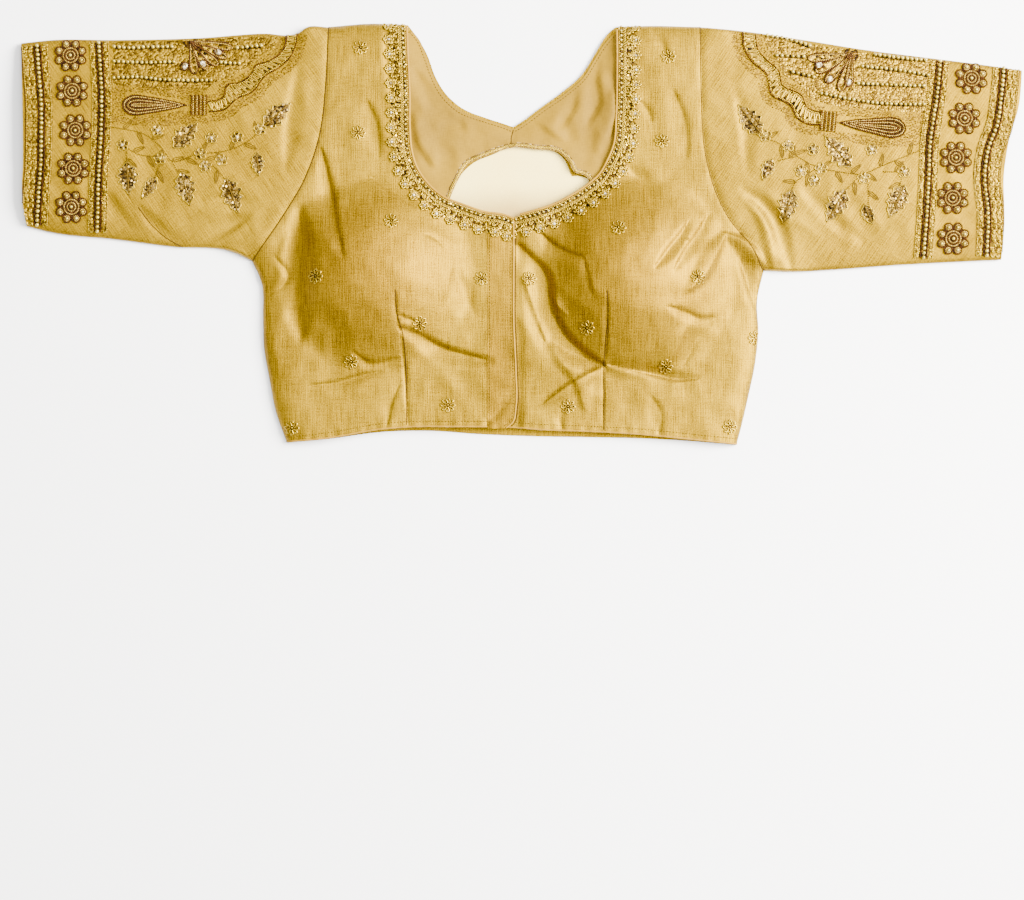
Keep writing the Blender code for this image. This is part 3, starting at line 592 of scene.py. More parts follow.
def silkPaint(name, look):
    paint = Paint(name, look["roughness"], look["metallic"])
    threads, slub = look["threadsPerMetre"], look["slubsPerMetre"]
    warp = paint.noise(paint.cloth(threads, slub), 1.0, 2.0, 0.6)
    weft = paint.noise(paint.cloth(slub, threads * 1.2), 1.0, 2.0, 0.6)
    grain = paint.noise(paint.cloth(threads, threads * 0.8), 1.0, 1.0)
    across = paint.add("ShaderNodeSeparateXYZ", {}, {0: paint.cloth(2.0 * math.pi * look["ribsPerMetre"], 1.0)})
    ribs = across.sum("SINE", across + paint.noise(paint.cloth(60.0, 25.0), 1.0) * 9.0)
    broad = paint.noise(paint.cloth(1.0, 1.0), 11.0, 4.0)
    weave = warp * 0.37 + weft * 0.21 + grain * 0.42
    tone = (weave - 0.5) * look["contrast"] + ribs * 0.09 + (broad - 0.5) * 0.6 + 0.55
    gold = paint.ramp(tone, (0.1, deep(look["dark"])), (0.5, deep(look["mid"])), (0.9, deep(look["light"])))
    # Painted highlight: the silk is tinted more orange around each cup's centre, fading out over 120 mm, where the
    # lamps' highlights fall
    cupHighlightMask = 0.0
    for x, y, reachX, reachY, rise in cups:
        away = paint.add("ShaderNodeVectorMath", {"operation": "DISTANCE"}, {0: paint.cloth(1.0, 1.0),
                                                                             1: (x * mm, y * mm, 0.0)}, 1)
        cupHighlightMask = cupHighlightMask + paint.add("ShaderNodeMapRange", {"interpolation_type": "SMOOTHSTEP"},
                                {"Value": away, "From Min": 0.0, "From Max": 0.12, "To Min": 1.0, "To Max": 0.0})
    paint.set("Base Color", paint.mixed(cupHighlightMask, gold, look["cupHighlightColour"], "MULTIPLY"))
    paint.set("Roughness", (weave - 0.5) * 0.4 + look["roughness"])
    paint.bump(weave + broad * 1.5, look["bumpDepth"])
    paint.set("Specular IOR Level", 0.03)
    return paint.material


def plainClothPaint(name, colour, shade, roughness, threads=1500.0, depth=0.0001):
    paint = Paint(name, roughness)
    weave = (paint.noise(paint.cloth(threads, threads * 0.1), 1.0) + paint.noise(
        paint.cloth(threads * 0.1, threads), 1.0)) * 0.5
    broad = paint.noise(paint.cloth(1.0, 1.0), 14.0, 3.0)
    paint.set("Base Color", paint.mixed((weave - 0.5) * 1.4 + (broad - 0.5) * 2.0 + 0.5, deep(shade),
                                        deep(colour)))
    paint.bump(weave, depth)
    paint.set("Specular IOR Level", 0.12)
    return paint.material


# Each bead and sequin carries its own tone
def beadPaint(name, dark, light, roughness, metallic, coat=0.0):
    paint = Paint(name, roughness, metallic)
    tone = paint.add("ShaderNodeAttribute", {"attribute_name": "tone"}, {}, 2)
    wear = paint.noise(paint.objectPlace(), 900.0, 2.0)
    paint.set("Base Color", paint.mixed(tone * 0.75 + wear * 0.25, deep(dark), deep(light)))
    paint.set("Roughness", wear * 0.18 + (roughness - 0.09))
    paint.set("Coat Weight", coat)
    paint.set("Specular IOR Level", 0.08)
    return paint.material


# Ground packed with tiny gold coils
def packedPaint(name, dark, mid, light, cellsPerMetre, metallic=0.55):
    paint = Paint(name, 0.36, metallic)
    place = paint.objectPlace()
    cells = {"Vector": place, "Scale": cellsPerMetre}
    shade = paint.add("ShaderNodeTexVoronoi", {}, cells, 1)
    dome = paint.add("ShaderNodeTexVoronoi", {}, cells, 0)
    paint.set("Base Color", paint.ramp(shade, (0.2, deep(dark)), (0.52, deep(mid)), (0.82, deep(light))))
    paint.bump(1.0 - dome, 0.0006)
    paint.set("Specular IOR Level", 0.08)
    return paint.material


paints = {
    "silk": silkPaint("goldSilk", silkLook),
    # Painted shade: a darker copy of the gold silk, laid on the placket
    "band": silkPaint("goldSilkShaded", {**silkLook, "light": (0.45, 0.26, 0.002), "mid": (0.27, 0.145, 0.001)}),
    "piping": plainClothPaint("pipingSatin", (0.52, 0.29, 0.012), (0.30, 0.15, 0.003), 0.5),
    "lining": plainClothPaint("liningCloth", (0.39, 0.22, 0.002), (0.20, 0.11, 0.001), 0.7),
    # painted shadow: the dark thread laid in seams, darts and creases
    "seam": plainClothPaint("seamShade", (0.07, 0.032, 0.0), (0.04, 0.018, 0.0), 0.8),
    "patch": plainClothPaint("patchGround", (0.33, 0.18, 0.002), (0.18, 0.095, 0.001), 0.6),
    "pearl": beadPaint("goldPearl", (0.34, 0.225, 0.01), (0.74, 0.56, 0.09), 0.22, 0.55, 0.4),
    "cord": beadPaint("copperCord", (0.016, 0.005, 0.0008), (0.105, 0.036, 0.005), 0.34, 0.4),
    "silver": beadPaint("roseCord", (0.20, 0.11, 0.012), (0.60, 0.385, 0.07), 0.30, 0.6),
    "seed": beadPaint("goldSeed", (0.16, 0.09, 0.001), (0.85, 0.56, 0.03), 0.34, 0.75),
    "sequin": beadPaint("goldSequin", (0.08, 0.04, 0.001), (0.78, 0.50, 0.04), 0.28, 0.85),
    "leafSequin": beadPaint("bronzeSequin", (0.06, 0.032, 0.005), (0.42, 0.29, 0.09), 0.34, 0.8),
    "thread": beadPaint("goldThread", (0.05, 0.024, 0.001), (0.20, 0.105, 0.002), 0.5, 0.4),
    "olive": beadPaint("oliveThread", (0.05, 0.026, 0.0), (0.20, 0.112, 0.001), 0.6, 0.2),
    # Painted reflection: the clear stones get bright and dark cells for the glints of their facets
    "stone": packedPaint("clearStone", (0.10, 0.055, 0.01), (0.52, 0.38, 0.16), (1.25, 1.1, 0.75), 520.0, 0.1),
    "zari": packedPaint("packedZari", (0.012, 0.005, 0.0), (0.17, 0.09, 0.001), (0.80, 0.50, 0.02), 430.0),
    "glitter": packedPaint("packedGlitter", (0.055, 0.027, 0.0), (0.19, 0.106, 0.001), (0.47, 0.285, 0.008), 560.0),
    "leaf": packedPaint("packedLeaf", (0.012, 0.005, 0.0), (0.12, 0.062, 0.003), (0.52, 0.33, 0.045), 520.0),
    "fray": packedPaint("frayedEdge", (0.07, 0.035, 0.004), (0.20, 0.11, 0.02), (0.50, 0.32, 0.09), 620.0, 0.0),
    # dark thread ground, also laid under the pearl rows as painted shade in the gaps between the pearls
    "brown": packedPaint("threadGroundAndBeadShade", (0.008, 0.003, 0.0), (0.035, 0.015, 0.001), (0.16, 0.08, 0.002), 560.0),
}


def netPaint(name):
    paint = Paint(name, 0.7)
    place = paint.add("ShaderNodeUVMap", {"uv_map": "cloth"}, {})
    cells = paint.add("ShaderNodeTexVoronoi", {"feature": "DISTANCE_TO_EDGE"}, {"Vector": place, "Scale": 900.0})
    cloud = paint.noise(place, 16.0, 3.0)
    height = paint.add("ShaderNodeSeparateXYZ", {}, {0: place}, 1)
    # Painted shade: the net is darker toward its lower edge, next to the front neck
    shaded = paint.add("ShaderNodeMapRange", {"interpolation_type": "SMOOTHSTEP"},
                       {"Value": height + cloud * 0.012, "From Min": 0.022, "From Max": 0.056})
    sheer = paint.mixed(cloud, (0.98, 0.70, 0.16), (0.99, 0.86, 0.30))
    paint.set("Base Color", paint.mixed(shaded, (0.46, 0.30, 0.07), sheer))
    paint.set("Alpha", paint.add("ShaderNodeMapRange", {}, {"Value": cells, "From Max": 0.12, "To Min": 0.97,
                                                            "To Max": 0.8}))
    return paint.material


paints["net"] = netPaint("sheerNet")


def finished(piece, paint, slot, *nodes):
    piece.data.materials.clear()
    piece.data.materials.append(paints[paint])
    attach(piece, "root")
    if nodes:
        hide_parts(*nodes)
    return piece


# Trees for what is strung, couched or scattered

def growTree(name, sizes):
    tree = bpy.data.node_groups.new(name, "GeometryNodeTree")
    tree.interface.new_socket(name="Geometry", in_out="INPUT", socket_type="NodeSocketGeometry")
    for label, kind, value in sizes:
        socket = tree.interface.new_socket(name=label, in_out="INPUT", socket_type=kind)
        if value is not None:
            socket.default_value = value
    tree.interface.new_socket(name="Geometry", in_out="OUTPUT", socket_type="NodeSocketGeometry")

    def node(kind, settings=None, **values):
        made = tree.nodes.new(kind)
        for key, value in (settings or {}).items():
            setattr(made, key, value)
        for key, value in values.items():
            socket = made.inputs[key.replace("_", " ")]
            if isinstance(value, bpy.types.NodeSocket):
                tree.links.new(value, socket)
            else:
                socket.default_value = value
        return made

    given = tree.nodes.new("NodeGroupInput")
    return tree, node, given.outputs


def finishTree(tree, node, given, instances, seed):
    tone = node("FunctionNodeRandomValue", {"data_type": "FLOAT"}, Seed=seed)
    kept = node("GeometryNodeStoreNamedAttribute", {"data_type": "FLOAT", "domain": "INSTANCE"},
                Geometry=instances, Name="tone")
    tree.links.new(tone.outputs["Value"] if tone.outputs["Value"].enabled else tone.outputs[1], kept.inputs["Value"])
    solid = node("GeometryNodeRealizeInstances", Geometry=kept.outputs[0])
    dressed = node("GeometryNodeSetMaterial", Geometry=solid.outputs[0], Material=given["Material"])
    out = tree.nodes.new("NodeGroupOutput")
    tree.links.new(dressed.outputs[0], out.inputs[0])
    return tree


def randomVector(node, low, high, seed):
    return node("FunctionNodeRandomValue", {"data_type": "FLOAT_VECTOR"}, Min=low, Max=high, Seed=seed).outputs[0]


def strungBeadsTree():
    tree, node, given = growTree("strungBeads", [
        ("Pitch", "NodeSocketFloat", 0.004), ("Radius", "NodeSocketFloat", 0.0016), ("Long", "NodeSocketFloat", 1.0),
        ("Detail", "NodeSocketInt", 1), ("Wander", "NodeSocketFloat", 0.0001),
        ("Material", "NodeSocketMaterial", None)])
    thread = node("GeometryNodeMeshToCurve", Mesh=given["Geometry"])
    spots = node("GeometryNodeCurveToPoints", {"mode": "LENGTH"}, Curve=thread.outputs[0], Length=given["Pitch"])
    away = node("ShaderNodeVectorMath", {"operation": "SCALE"}, Scale=given["Wander"])
    tree.links.new(randomVector(node, (-1, -1, -0.4), (1, 1, 0.4), 3), away.inputs[0])
    loose = node("GeometryNodeSetPosition", Geometry=spots.outputs["Points"], Offset=away.outputs[0])
    bead = node("GeometryNodeMeshIcoSphere", Radius=given["Radius"], Subdivisions=given["Detail"])
    size = node("ShaderNodeCombineXYZ", X=1.0, Y=1.0, Z=given["Long"])
    placed = node("GeometryNodeInstanceOnPoints", Points=loose.outputs[0], Instance=bead.outputs[0],
                  Rotation=spots.outputs["Rotation"], Scale=size.outputs[0])
    return finishTree(tree, node, given, placed.outputs[0], 11)


def couchedThreadTree():
    tree, node, given = growTree("couchedThread", [
        ("Step", "NodeSocketFloat", 0.001), ("Radius", "NodeSocketFloat", 0.0004), ("Sides", "NodeSocketInt", 5),
        ("Material", "NodeSocketMaterial", None)])
    thread = node("GeometryNodeMeshToCurve", Mesh=given["Geometry"])
    even = node("GeometryNodeResampleCurve", {"mode": "LENGTH"}, Curve=thread.outputs[0], Length=given["Step"])
    ring = node("GeometryNodeCurvePrimitiveCircle", Resolution=given["Sides"], Radius=given["Radius"])
    swept = node("GeometryNodeCurveToMesh", Curve=even.outputs[0], Profile_Curve=ring.outputs[0], Fill_Caps=True)
    lone = node("GeometryNodeGeometryToInstance")
    tree.links.new(swept.outputs[0], lone.inputs[0])
    return finishTree(tree, node, given, lone.outputs[0], 5)


def scatteredSequinsTree():
    tree, node, given = growTree("scatteredSequins", [
        ("Apart", "NodeSocketFloat", 0.0014), ("Density", "NodeSocketFloat", 500000.0),
        ("Radius", "NodeSocketFloat", 0.001), ("Tilt", "NodeSocketFloat", 0.5), ("Seed", "NodeSocketInt", 4),
        ("Material", "NodeSocketMaterial", None)])
    spots = node("GeometryNodeDistributePointsOnFaces", {"distribute_method": "POISSON"}, Mesh=given["Geometry"],
                 Distance_Min=given["Apart"], Density_Max=given["Density"], Seed=given["Seed"])
    disc = node("GeometryNodeMeshCircle", {"fill_type": "TRIANGLE_FAN"}, Vertices=6, Radius=given["Radius"])
    placed = node("GeometryNodeInstanceOnPoints", Points=spots.outputs["Points"], Instance=disc.outputs[0],
                  Rotation=spots.outputs["Rotation"])
    lean = node("ShaderNodeVectorMath", {"operation": "SCALE"}, Scale=given["Tilt"])
    tree.links.new(randomVector(node, (-1, -1, -3), (1, 1, 3), 8), lean.inputs[0])
    turned = node("GeometryNodeRotateInstances", Instances=placed.outputs[0], Rotation=lean.outputs[0])
    return finishTree(tree, node, given, turned.outputs[0], 21)


trees = {"beads": strungBeadsTree(), "thread": couchedThreadTree(), "sequins": scatteredSequinsTree()}


# Runs a tree on a host mesh and keeps the result as a plain mesh
def grown(name, host, tree, sizes, paint):
    modifier = host.modifiers.new("grow", "NODES")
    modifier.node_group = tree
    for item in tree.interface.items_tree:
        if item.in_out == "INPUT" and item.name in sizes:
            modifier[item.identifier] = sizes[item.name]
        if item.in_out == "INPUT" and item.name == "Material":
            modifier[item.identifier] = paints[paint]
    bpy.context.view_layer.update()
    evaluated = host.evaluated_get(bpy.context.evaluated_depsgraph_get())
    mesh = bpy.data.meshes.new_from_object(evaluated)
    host.modifiers.clear()
    bpy.data.objects.remove(host, do_unlink=True)
    mesh.name = name
    piece = bpy.data.objects.new(name, mesh)
    bpy.context.scene.collection.objects.link(piece)
    return piece


# Paths laid on a face; a closed one joins its ends
def pathHost(name, paths):
    points, links = [], []
    for path, closed in paths:
        first = len(points)
        points += [tuple(point) for point in path]
        links += [(k, k + 1) for k in range(first, len(points) - 1)]
        if closed:
            links.append((len(points) - 1, first))
    mesh = bpy.data.meshes.new(name)
    mesh.from_pydata((np.array(points) * mm + np.array(shift)).tolist(), links, [])
    host = bpy.data.objects.new(name, mesh)
    bpy.context.scene.collection.objects.link(host)
    return host


def areaHost(name, areas, cell=3.0):
    points, faces = [], []
    for outline, height, flip in areas:
        flat, found = triangles(outline, [], gridInside(outline, [], cell, 0.5 * cell))
        z = height(flat[:, 0], flat[:, 1])
        good = ~np.isnan(z)
        z[~good] = np.nanmean(z) if good.any() else 0.0
        found = found[good[found].all(axis=1)]
        if flip:
            found = found[:, ::-1]
        faces += [tuple(face) for face in found + len(points)]
        points += np.column_stack([flat, z]).tolist()
    return meshPiece(name, points, faces)


# Bead work is gathered here for each part of the blouse, then grown piece by piece
work = {}


class Face:
    def __init__(self, part, height, side):
        self.height, self.side = height, side
        self.kinds = work.setdefault(part, {})

    def lay(self, kind, line, lift, closed=False, step=1.2):
        line = np.asarray(line, float)
        if closed:
            line = np.vstack([line, line[:1]])
        line = resampled(line, step)
        if closed:
            line = line[:-1]
        z = self.height(line[:, 0], line[:, 1])
        good = ~np.isnan(z)
        if good.sum() < 2:
            return
        line, z = line[good], z[good]
        z = z + self.side * lift
        if self.side < 0:
            sizes = beadKinds[kind][1]
            z = np.maximum(z, 1000.0 * (sizes["Radius"] + sizes.get("Wander", 0.0)) + 0.05)
        self.kinds.setdefault(kind, []).append((np.column_stack([line, z]), closed and good.all()))

    def fill(self, kind, outline, lift):
        self.kinds.setdefault(kind, []).append(
            (outline, lambda x, y: np.maximum(self.height(x, y) + self.side * lift, 0.45), self.side < 0))

    def dot(self, kind, x, y, lift):
        self.lay(kind, [(x - 0.05, y), (x + 0.05, y)], lift, step=0.1)


# Sizes of the beads and threads: tree, its inputs in metres, paint and slot
beadKinds = {
    "pearl": ("beads", {"Pitch": 0.0042, "Radius": 0.00178, "Detail": 2, "Wander": 0.0002}, "pearl", "bead_work"),
    "bigPearl": ("beads", {"Pitch": 0.0045, "Radius": 0.00165, "Detail": 2, "Wander": 0.0002}, "pearl", "bead_work"),
    "cord": ("beads", {"Pitch": 0.0016, "Radius": 0.00085, "Detail": 1, "Wander": 0.00008}, "cord", "bead_work"),
    "silver": ("beads", {"Pitch": 0.0016, "Radius": 0.0009, "Detail": 1, "Wander": 0.00006}, "silver", "bead_work"),
    "seed": ("beads", {"Pitch": 0.0017, "Radius": 0.0008, "Detail": 1, "Wander": 0.00012}, "seed", "gold_work"),
    "dots": ("beads", {"Pitch": 0.0024, "Radius": 0.00055, "Detail": 1, "Wander": 0.00035}, "thread", "gold_work"),
    "thread": ("thread", {"Step": 0.0011, "Radius": 0.00048, "Sides": 5}, "seed", "gold_work"),
    "bugle": ("thread", {"Step": 0.0016, "Radius": 0.00075, "Sides": 5}, "seed", "gold_work"),
    "spray": ("thread", {"Step": 0.0012, "Radius": 0.00042, "Sides": 5}, "olive", "gold_work"),
    "stem": ("beads", {"Pitch": 0.0017, "Radius": 0.00065, "Detail": 1, "Wander": 0.0002}, "olive", "gold_work"),
    # the dark thread laid as painted shadow in seams and creases
    "seam": ("thread", {"Step": 0.0024, "Radius": 0.0005, "Sides": 5}, "seam", "silk"),
    "rolled": ("thread", {"Step": 0.0024, "Radius": 0.0008, "Sides": 8}, "piping", "silk"),
    "stitch": ("beads", {"Pitch": 0.0029, "Radius": 0.00042, "Detail": 1, "Long": 2.6, "Wander": 0.0}, "olive",
               "gold_work"),
    "stone": ("beads", {"Pitch": 0.005, "Radius": 0.0015, "Detail": 1, "Wander": 0.0}, "stone", "bead_work"),
    "drop": ("beads", {"Pitch": 0.005, "Radius": 0.0027, "Detail": 1, "Long": 1.4, "Wander": 0.0}, "stone",
             "bead_work"),
    "neckPearl": ("beads", {"Pitch": 0.0034, "Radius": 0.0014, "Detail": 1, "Wander": 0.0002}, "pearl", "bead_work"),
    "sequin": ("sequins", {"Apart": 0.0022, "Density": 400000.0, "Radius": 0.0009, "Tilt": 0.4}, "sequin",
               "gold_work"),
    "stipple": ("sequins", {"Apart": 0.00145, "Density": 800000.0, "Radius": 0.0008, "Tilt": 0.3}, "thread",
                "gold_work"),
    "leafSequin": ("sequins", {"Apart": 0.0024, "Density": 500000.0, "Radius": 0.0010, "Tilt": 0.5}, "leafSequin",
                   "gold_work"),
    "zari": ("ground", {}, "zari", "gold_work"),
    "glitter": ("ground", {}, "glitter", "gold_work"),
    "leaf": ("ground", {}, "leaf", "gold_work"),
    "brown": ("ground", {}, "brown", "gold_work"),
    "fray": ("ground", {}, "fray", "lining"),
}


def growWork(part):
    for kind, laid in work[part].items():
        tree, sizes, paint, slot = beadKinds[kind]
        name = part + kind[0].upper() + kind[1:]
        host = pathHost(name, laid) if tree in ("beads", "thread") else areaHost(name, laid)
        piece = host if tree == "ground" else grown(name, host, trees[tree], sizes, paint)
        if tree in ("beads", "thread") and paint != "stone":
            piece.data.shade_smooth()
        finished(piece, paint, slot)
        print("grown", name, len(piece.data.polygons))


# The body

panelEdge = layers["placketX"]
rightNeck = movedAside(curves["neckRight"], -layers["neckInset"])
leftNeck = movedAside(curves["neckLeft"], -layers["neckInset"])
neckToPlacket = cutAtX(rightNeck, panelEdge - 0.1, True)
hemToPlacket = cutAtX(curves["hemFrontRight"], panelEdge - 0.1, True)
shoulderRight = cutAtX(curves["shoulderRight"], rightNeck[0][0], True)
shoulderLeft = cutAtX(curves["shoulderLeft"], leftNeck[-1][0], False)

frontRightOutline = joined(curves["sideRight"], hemToPlacket, curveOf([hemToPlacket[-1], neckToPlacket[-1]]),
                           neckToPlacket[::-1], shoulderRight, curves["armholeRight"])
frontLeftOutline = joined(curveOf([tuple(leftNeck[0]), edges["hemFrontLeft"][0]]), curves["hemFrontLeft"],
                          curves["sideLeft"][::-1], curves["armholeLeft"][::-1], shoulderLeft[::-1], leftNeck[::-1])


def wallOver(under, wall):
    def upper(x, y):
        slopeX = (under(x + 1.0, y) - under(x - 1.0, y)) / 2.0
        slopeY = (under(x, y + 1.0) - under(x, y - 1.0)) / 2.0
        return under(x, y) + layers["clear"] + wall * np.minimum(np.sqrt(1.0 + slopeX ** 2 + slopeY ** 2), 1.5)
    return upper


def lifted(under, amount):
    return lambda x, y: under(x, y) + amount


def level(height):
    return lambda x, y: np.full(len(x), height)


frontRight = clothPiece("frontRight", frontRightOutline, lifted(frontUnder, layers["clear"]),
                        wallOver(frontUnder, layers["wall"]), followCreases=True)
frontLeft = clothPiece("frontLeft", frontLeftOutline, lifted(leftFrontUnder, layers["clear"]),
                       wallOver(leftFrontUnder, layers["wall"]), followCreases=True)
finished(frontRight, "silk", "silk", "front_right_panel")
finished(frontLeft, "silk", "silk", "front_left_panel")
print("fronts made", len(frontRight.data.polygons), len(frontLeft.data.polygons))

placketEdge = [(-6, 12), (-6, -36), (-6, -82), (-4, -127), (-4, -160), (-7, -174), (-13, -179)]
placketTop = cutAtX(rightNeck, panelEdge + 0.1, False)
placketOutline = joined(curveOf([(panelEdge + 0.1, -179.0), placketTop[0]])[::-1],
                        curveOf([(panelEdge + 0.1, -179.0), placketEdge[-1]]), curveOf(placketEdge)[::-1],
                        placketTop[::-1])
placket = clothPiece("placket", placketOutline, lifted(frontUnder, layers["clear"]),
                     wallOver(frontUnder, layers["wall"] + 0.3))
# the placket wears the darker copy of the silk, as painted shade
finished(placket, "band", "silk", "front_placket")


def neckPath(line, panelLine, under):
    middle = line + (panelLine - line) * (layers["pipingRadius"] / layers["neckInset"])
    height = np.maximum(under(panelLine[:, 0], panelLine[:, 1]) + 0.7, 2.9)
    return np.column_stack([middle, height])


rightCord = neckPath(curves["neckRight"], rightNeck, frontUnder)
leftCord = neckPath(curves["neckLeft"], leftNeck, leftFrontUnder)
rightCord = rightCord[rightCord[:, 1] < 190.0]
leftCord = leftCord[(leftCord[:, 1] < 188.0) & (leftCord[:, 0] > -3.0)]
for name, path, node in (("pipingRight", rightCord, "neck_piping_right"), ("pipingLeft", leftCord, "neck_piping_left")):
    finished(cordPiece(name, path, layers["pipingRadius"]), "piping", "piping", node)

backOutline = joined(curves["sideRight"], curves["hemBack"], curves["sideLeft"][::-1], curves["armholeLeft"][::-1],
                     curves["shoulderLeft"][::-1], curves["neckBack"][::-1], curves["shoulderRight"],
                     curves["armholeRight"])
back = clothPiece("back", backOutline, backUnder, lifted(backUnder, layers["wall"]), cell=4.5, holes=[windowLoop])
finished(back, "silk", "silk", "back_panel")

netOutline = joined(resampled(movedAside(np.array(windowLoop + windowLoop[:1]), -6.0), 6.0))
if len(netOutline) and max(x for x, y in netOutline) < max(x for x, y in windowLoop):
    netOutline = joined(resampled(movedAside(np.array(windowLoop + windowLoop[:1]), 6.0), 6.0))
net = clothPiece("net", netOutline, *[level(height) for height in layers["net"]], cell=9.0)
finished(net, "net", "net", "back_net")

liningTables = {
    "neck": [(-100, 186), (-94, 179), (-87, 163), (-81, 146), (-73, 130), (-57, 114), (-31, 104), (-14, 98.5),
             (-7, 95.5)],
    "neckLeft": [(-7, 95.5), (2, 101), (18, 113), (41, 129), (57, 143), (67, 159), (75, 172), (85, 184)],
    "left": [(84, 184), (97, 178), (97, 60), (86, 36), (68, 20)],
    "window": [(68, 20), (64, 44), (60, 52), (49, 56), (43, 66), (35, 74), (14, 77), (-6, 79), (-24, 74),
               (-37, 69), (-49, 63), (-56, 52), (-62, 40), (-70, 18)],
    "right": [(-70, 18), (-92, 32), (-108, 58), (-112, 100), (-112, 180), (-100, 186)],
}
liningOutline = joined(curveOf(liningTables["neck"]), curveOf(liningTables["neckLeft"]),
                       resampled(liningTables["left"], 4.0), curveOf(liningTables["window"]),
                       resampled(liningTables["right"], 4.0))


liningCreases = [
    ([(-97, 150), (-84, 132), (-68, 112), (-52, 96)], 14, -4.8, 1),
    ([(-72, 136), (-62, 116), (-54, 98)], 9, -2.8, -1),
    ([(-40, 104), (-22, 96), (-8, 88)], 10, 3.0, 1),
    ([(-7, 96), (-8, 86), (-8, 78)], 3, -1.6, 0),
    ([(10, 106), (26, 96), (40, 84)], 11, 3.4, -1),
    ([(72, 165), (68, 140), (70, 120), (62, 100)], 13, -4.8, 1),
    ([(52, 132), (46, 112), (36, 96)], 10, -3.4, 1),
    ([(86, 130), (82, 100), (70, 74)], 12, 3.8, 1),
    ([(-98, 110), (-92, 84), (-80, 62)], 13, 3.8, -1),
]


def liningUnder(x, y):
    neckEdge = distanceTo(x, y, resampled(curves["neckBack"], 8.0))
    loose = 1.6 * crumpleHeight(x, y, 4.0) + creaseHeight(x, y, liningCreases) + 3.2
    return layers["lining"][0] + np.maximum(loose, 0.0) * smoothStep(neckEdge / 22.0)


lining = clothPiece("lining", liningOutline, liningUnder, lifted(liningUnder, layers["lining"][1]))
finished(lining, "lining", "lining", "back_lining")

patchSize = {"topRight": (-112.8, -28.0), "topLeft": (104.0, -28.0), "footRight": (-113.5, -110.3),
             "footLeft": (106.6, -104.3), "scallops": 8, "scallopRise": 9.0}


def patchTop():
    steps = patchSize["scallops"] * 6
    x0, x1, y = patchSize["topRight"][0], patchSize["topLeft"][0], patchSize["topRight"][1]
    return [(x0 + (x1 - x0) * k / steps,
             y + patchSize["scallopRise"] * abs(math.sin(math.pi * k / steps * patchSize["scallops"])))
            for k in range(steps + 1)]


patchOutline = joined(curveOf([patchSize["topRight"], patchSize["footRight"]]),
                      curveOf([patchSize["footRight"], patchSize["footLeft"]]),
                      curveOf([patchSize["footLeft"], patchSize["topLeft"]]), patchTop()[::-1])
patch = clothPiece("patch", patchOutline, *[level(height) for height in layers["patch"]], cell=6.0)
finished(patch, "patch", "patch", "back_patch")
print("back made")

# The sleeves

sleeves = {
    "sleeveRight": {
        "top": [(-459, 175), (-430, 178), (-374, 178), (-292, 180), (-236, 184), (-205, 184), (-196, 190),
                (-177, 190)],
        "under": [(-454, 7), (-430, 1), (-374, -5), (-319, -12), (-264, -17), (-247, -25)],
        "cuff": [(-459, 175), (-457, 131), (-456, 72), (-457, 28), (-454, 7)],
        "armhole": edges["armholeRight"], "towardCuff": -1, "node": "sleeve_right",
    },
    "sleeveLeft": {
        "top": [(460, 150), (426, 155), (371, 162), (316, 169), (260, 178), (205, 186), (165, 190)],
        "under": [(441, -24), (398, -26), (343, -29), (288, -33), (247, -35), (223, -34)],
        "cuff": [(460, 150), (456, 116), (447, 86), (442, 50), (443, 13), (441, -24)],
        "armhole": edges["armholeLeft"], "towardCuff": 1, "node": "sleeve_left",
    },
}
sleeveDetail = {"round": 136, "length": 96, "roomFrom": 0.78, "roomRun": 0.22, "bodyFrom": 0.75, "bodyRun": 0.25,
                "edgeRound": 3.0, "bias": 0.6}


def atShare(line, shares):
    length = np.concatenate([[0.0], np.cumsum(np.hypot(*np.diff(line, axis=0).T))])
    length /= length[-1]
    return np.column_stack([np.interp(shares, length, line[:, 0]), np.interp(shares, length, line[:, 1])])


def sleevePlan(lines, s, t):
    top, under, cuff, armhole = lines
    a, b = s[:, None], t[:, None]
    flowing = (1 - b) * atShare(top, s) + b * atShare(under, s) + (1 - a) * atShare(cuff, t) + a * atShare(armhole, t)
    corners = (1 - a) * ((1 - b) * top[0] + b * under[0]) + a * ((1 - b) * top[-1] + b * under[-1])
    return flowing - corners


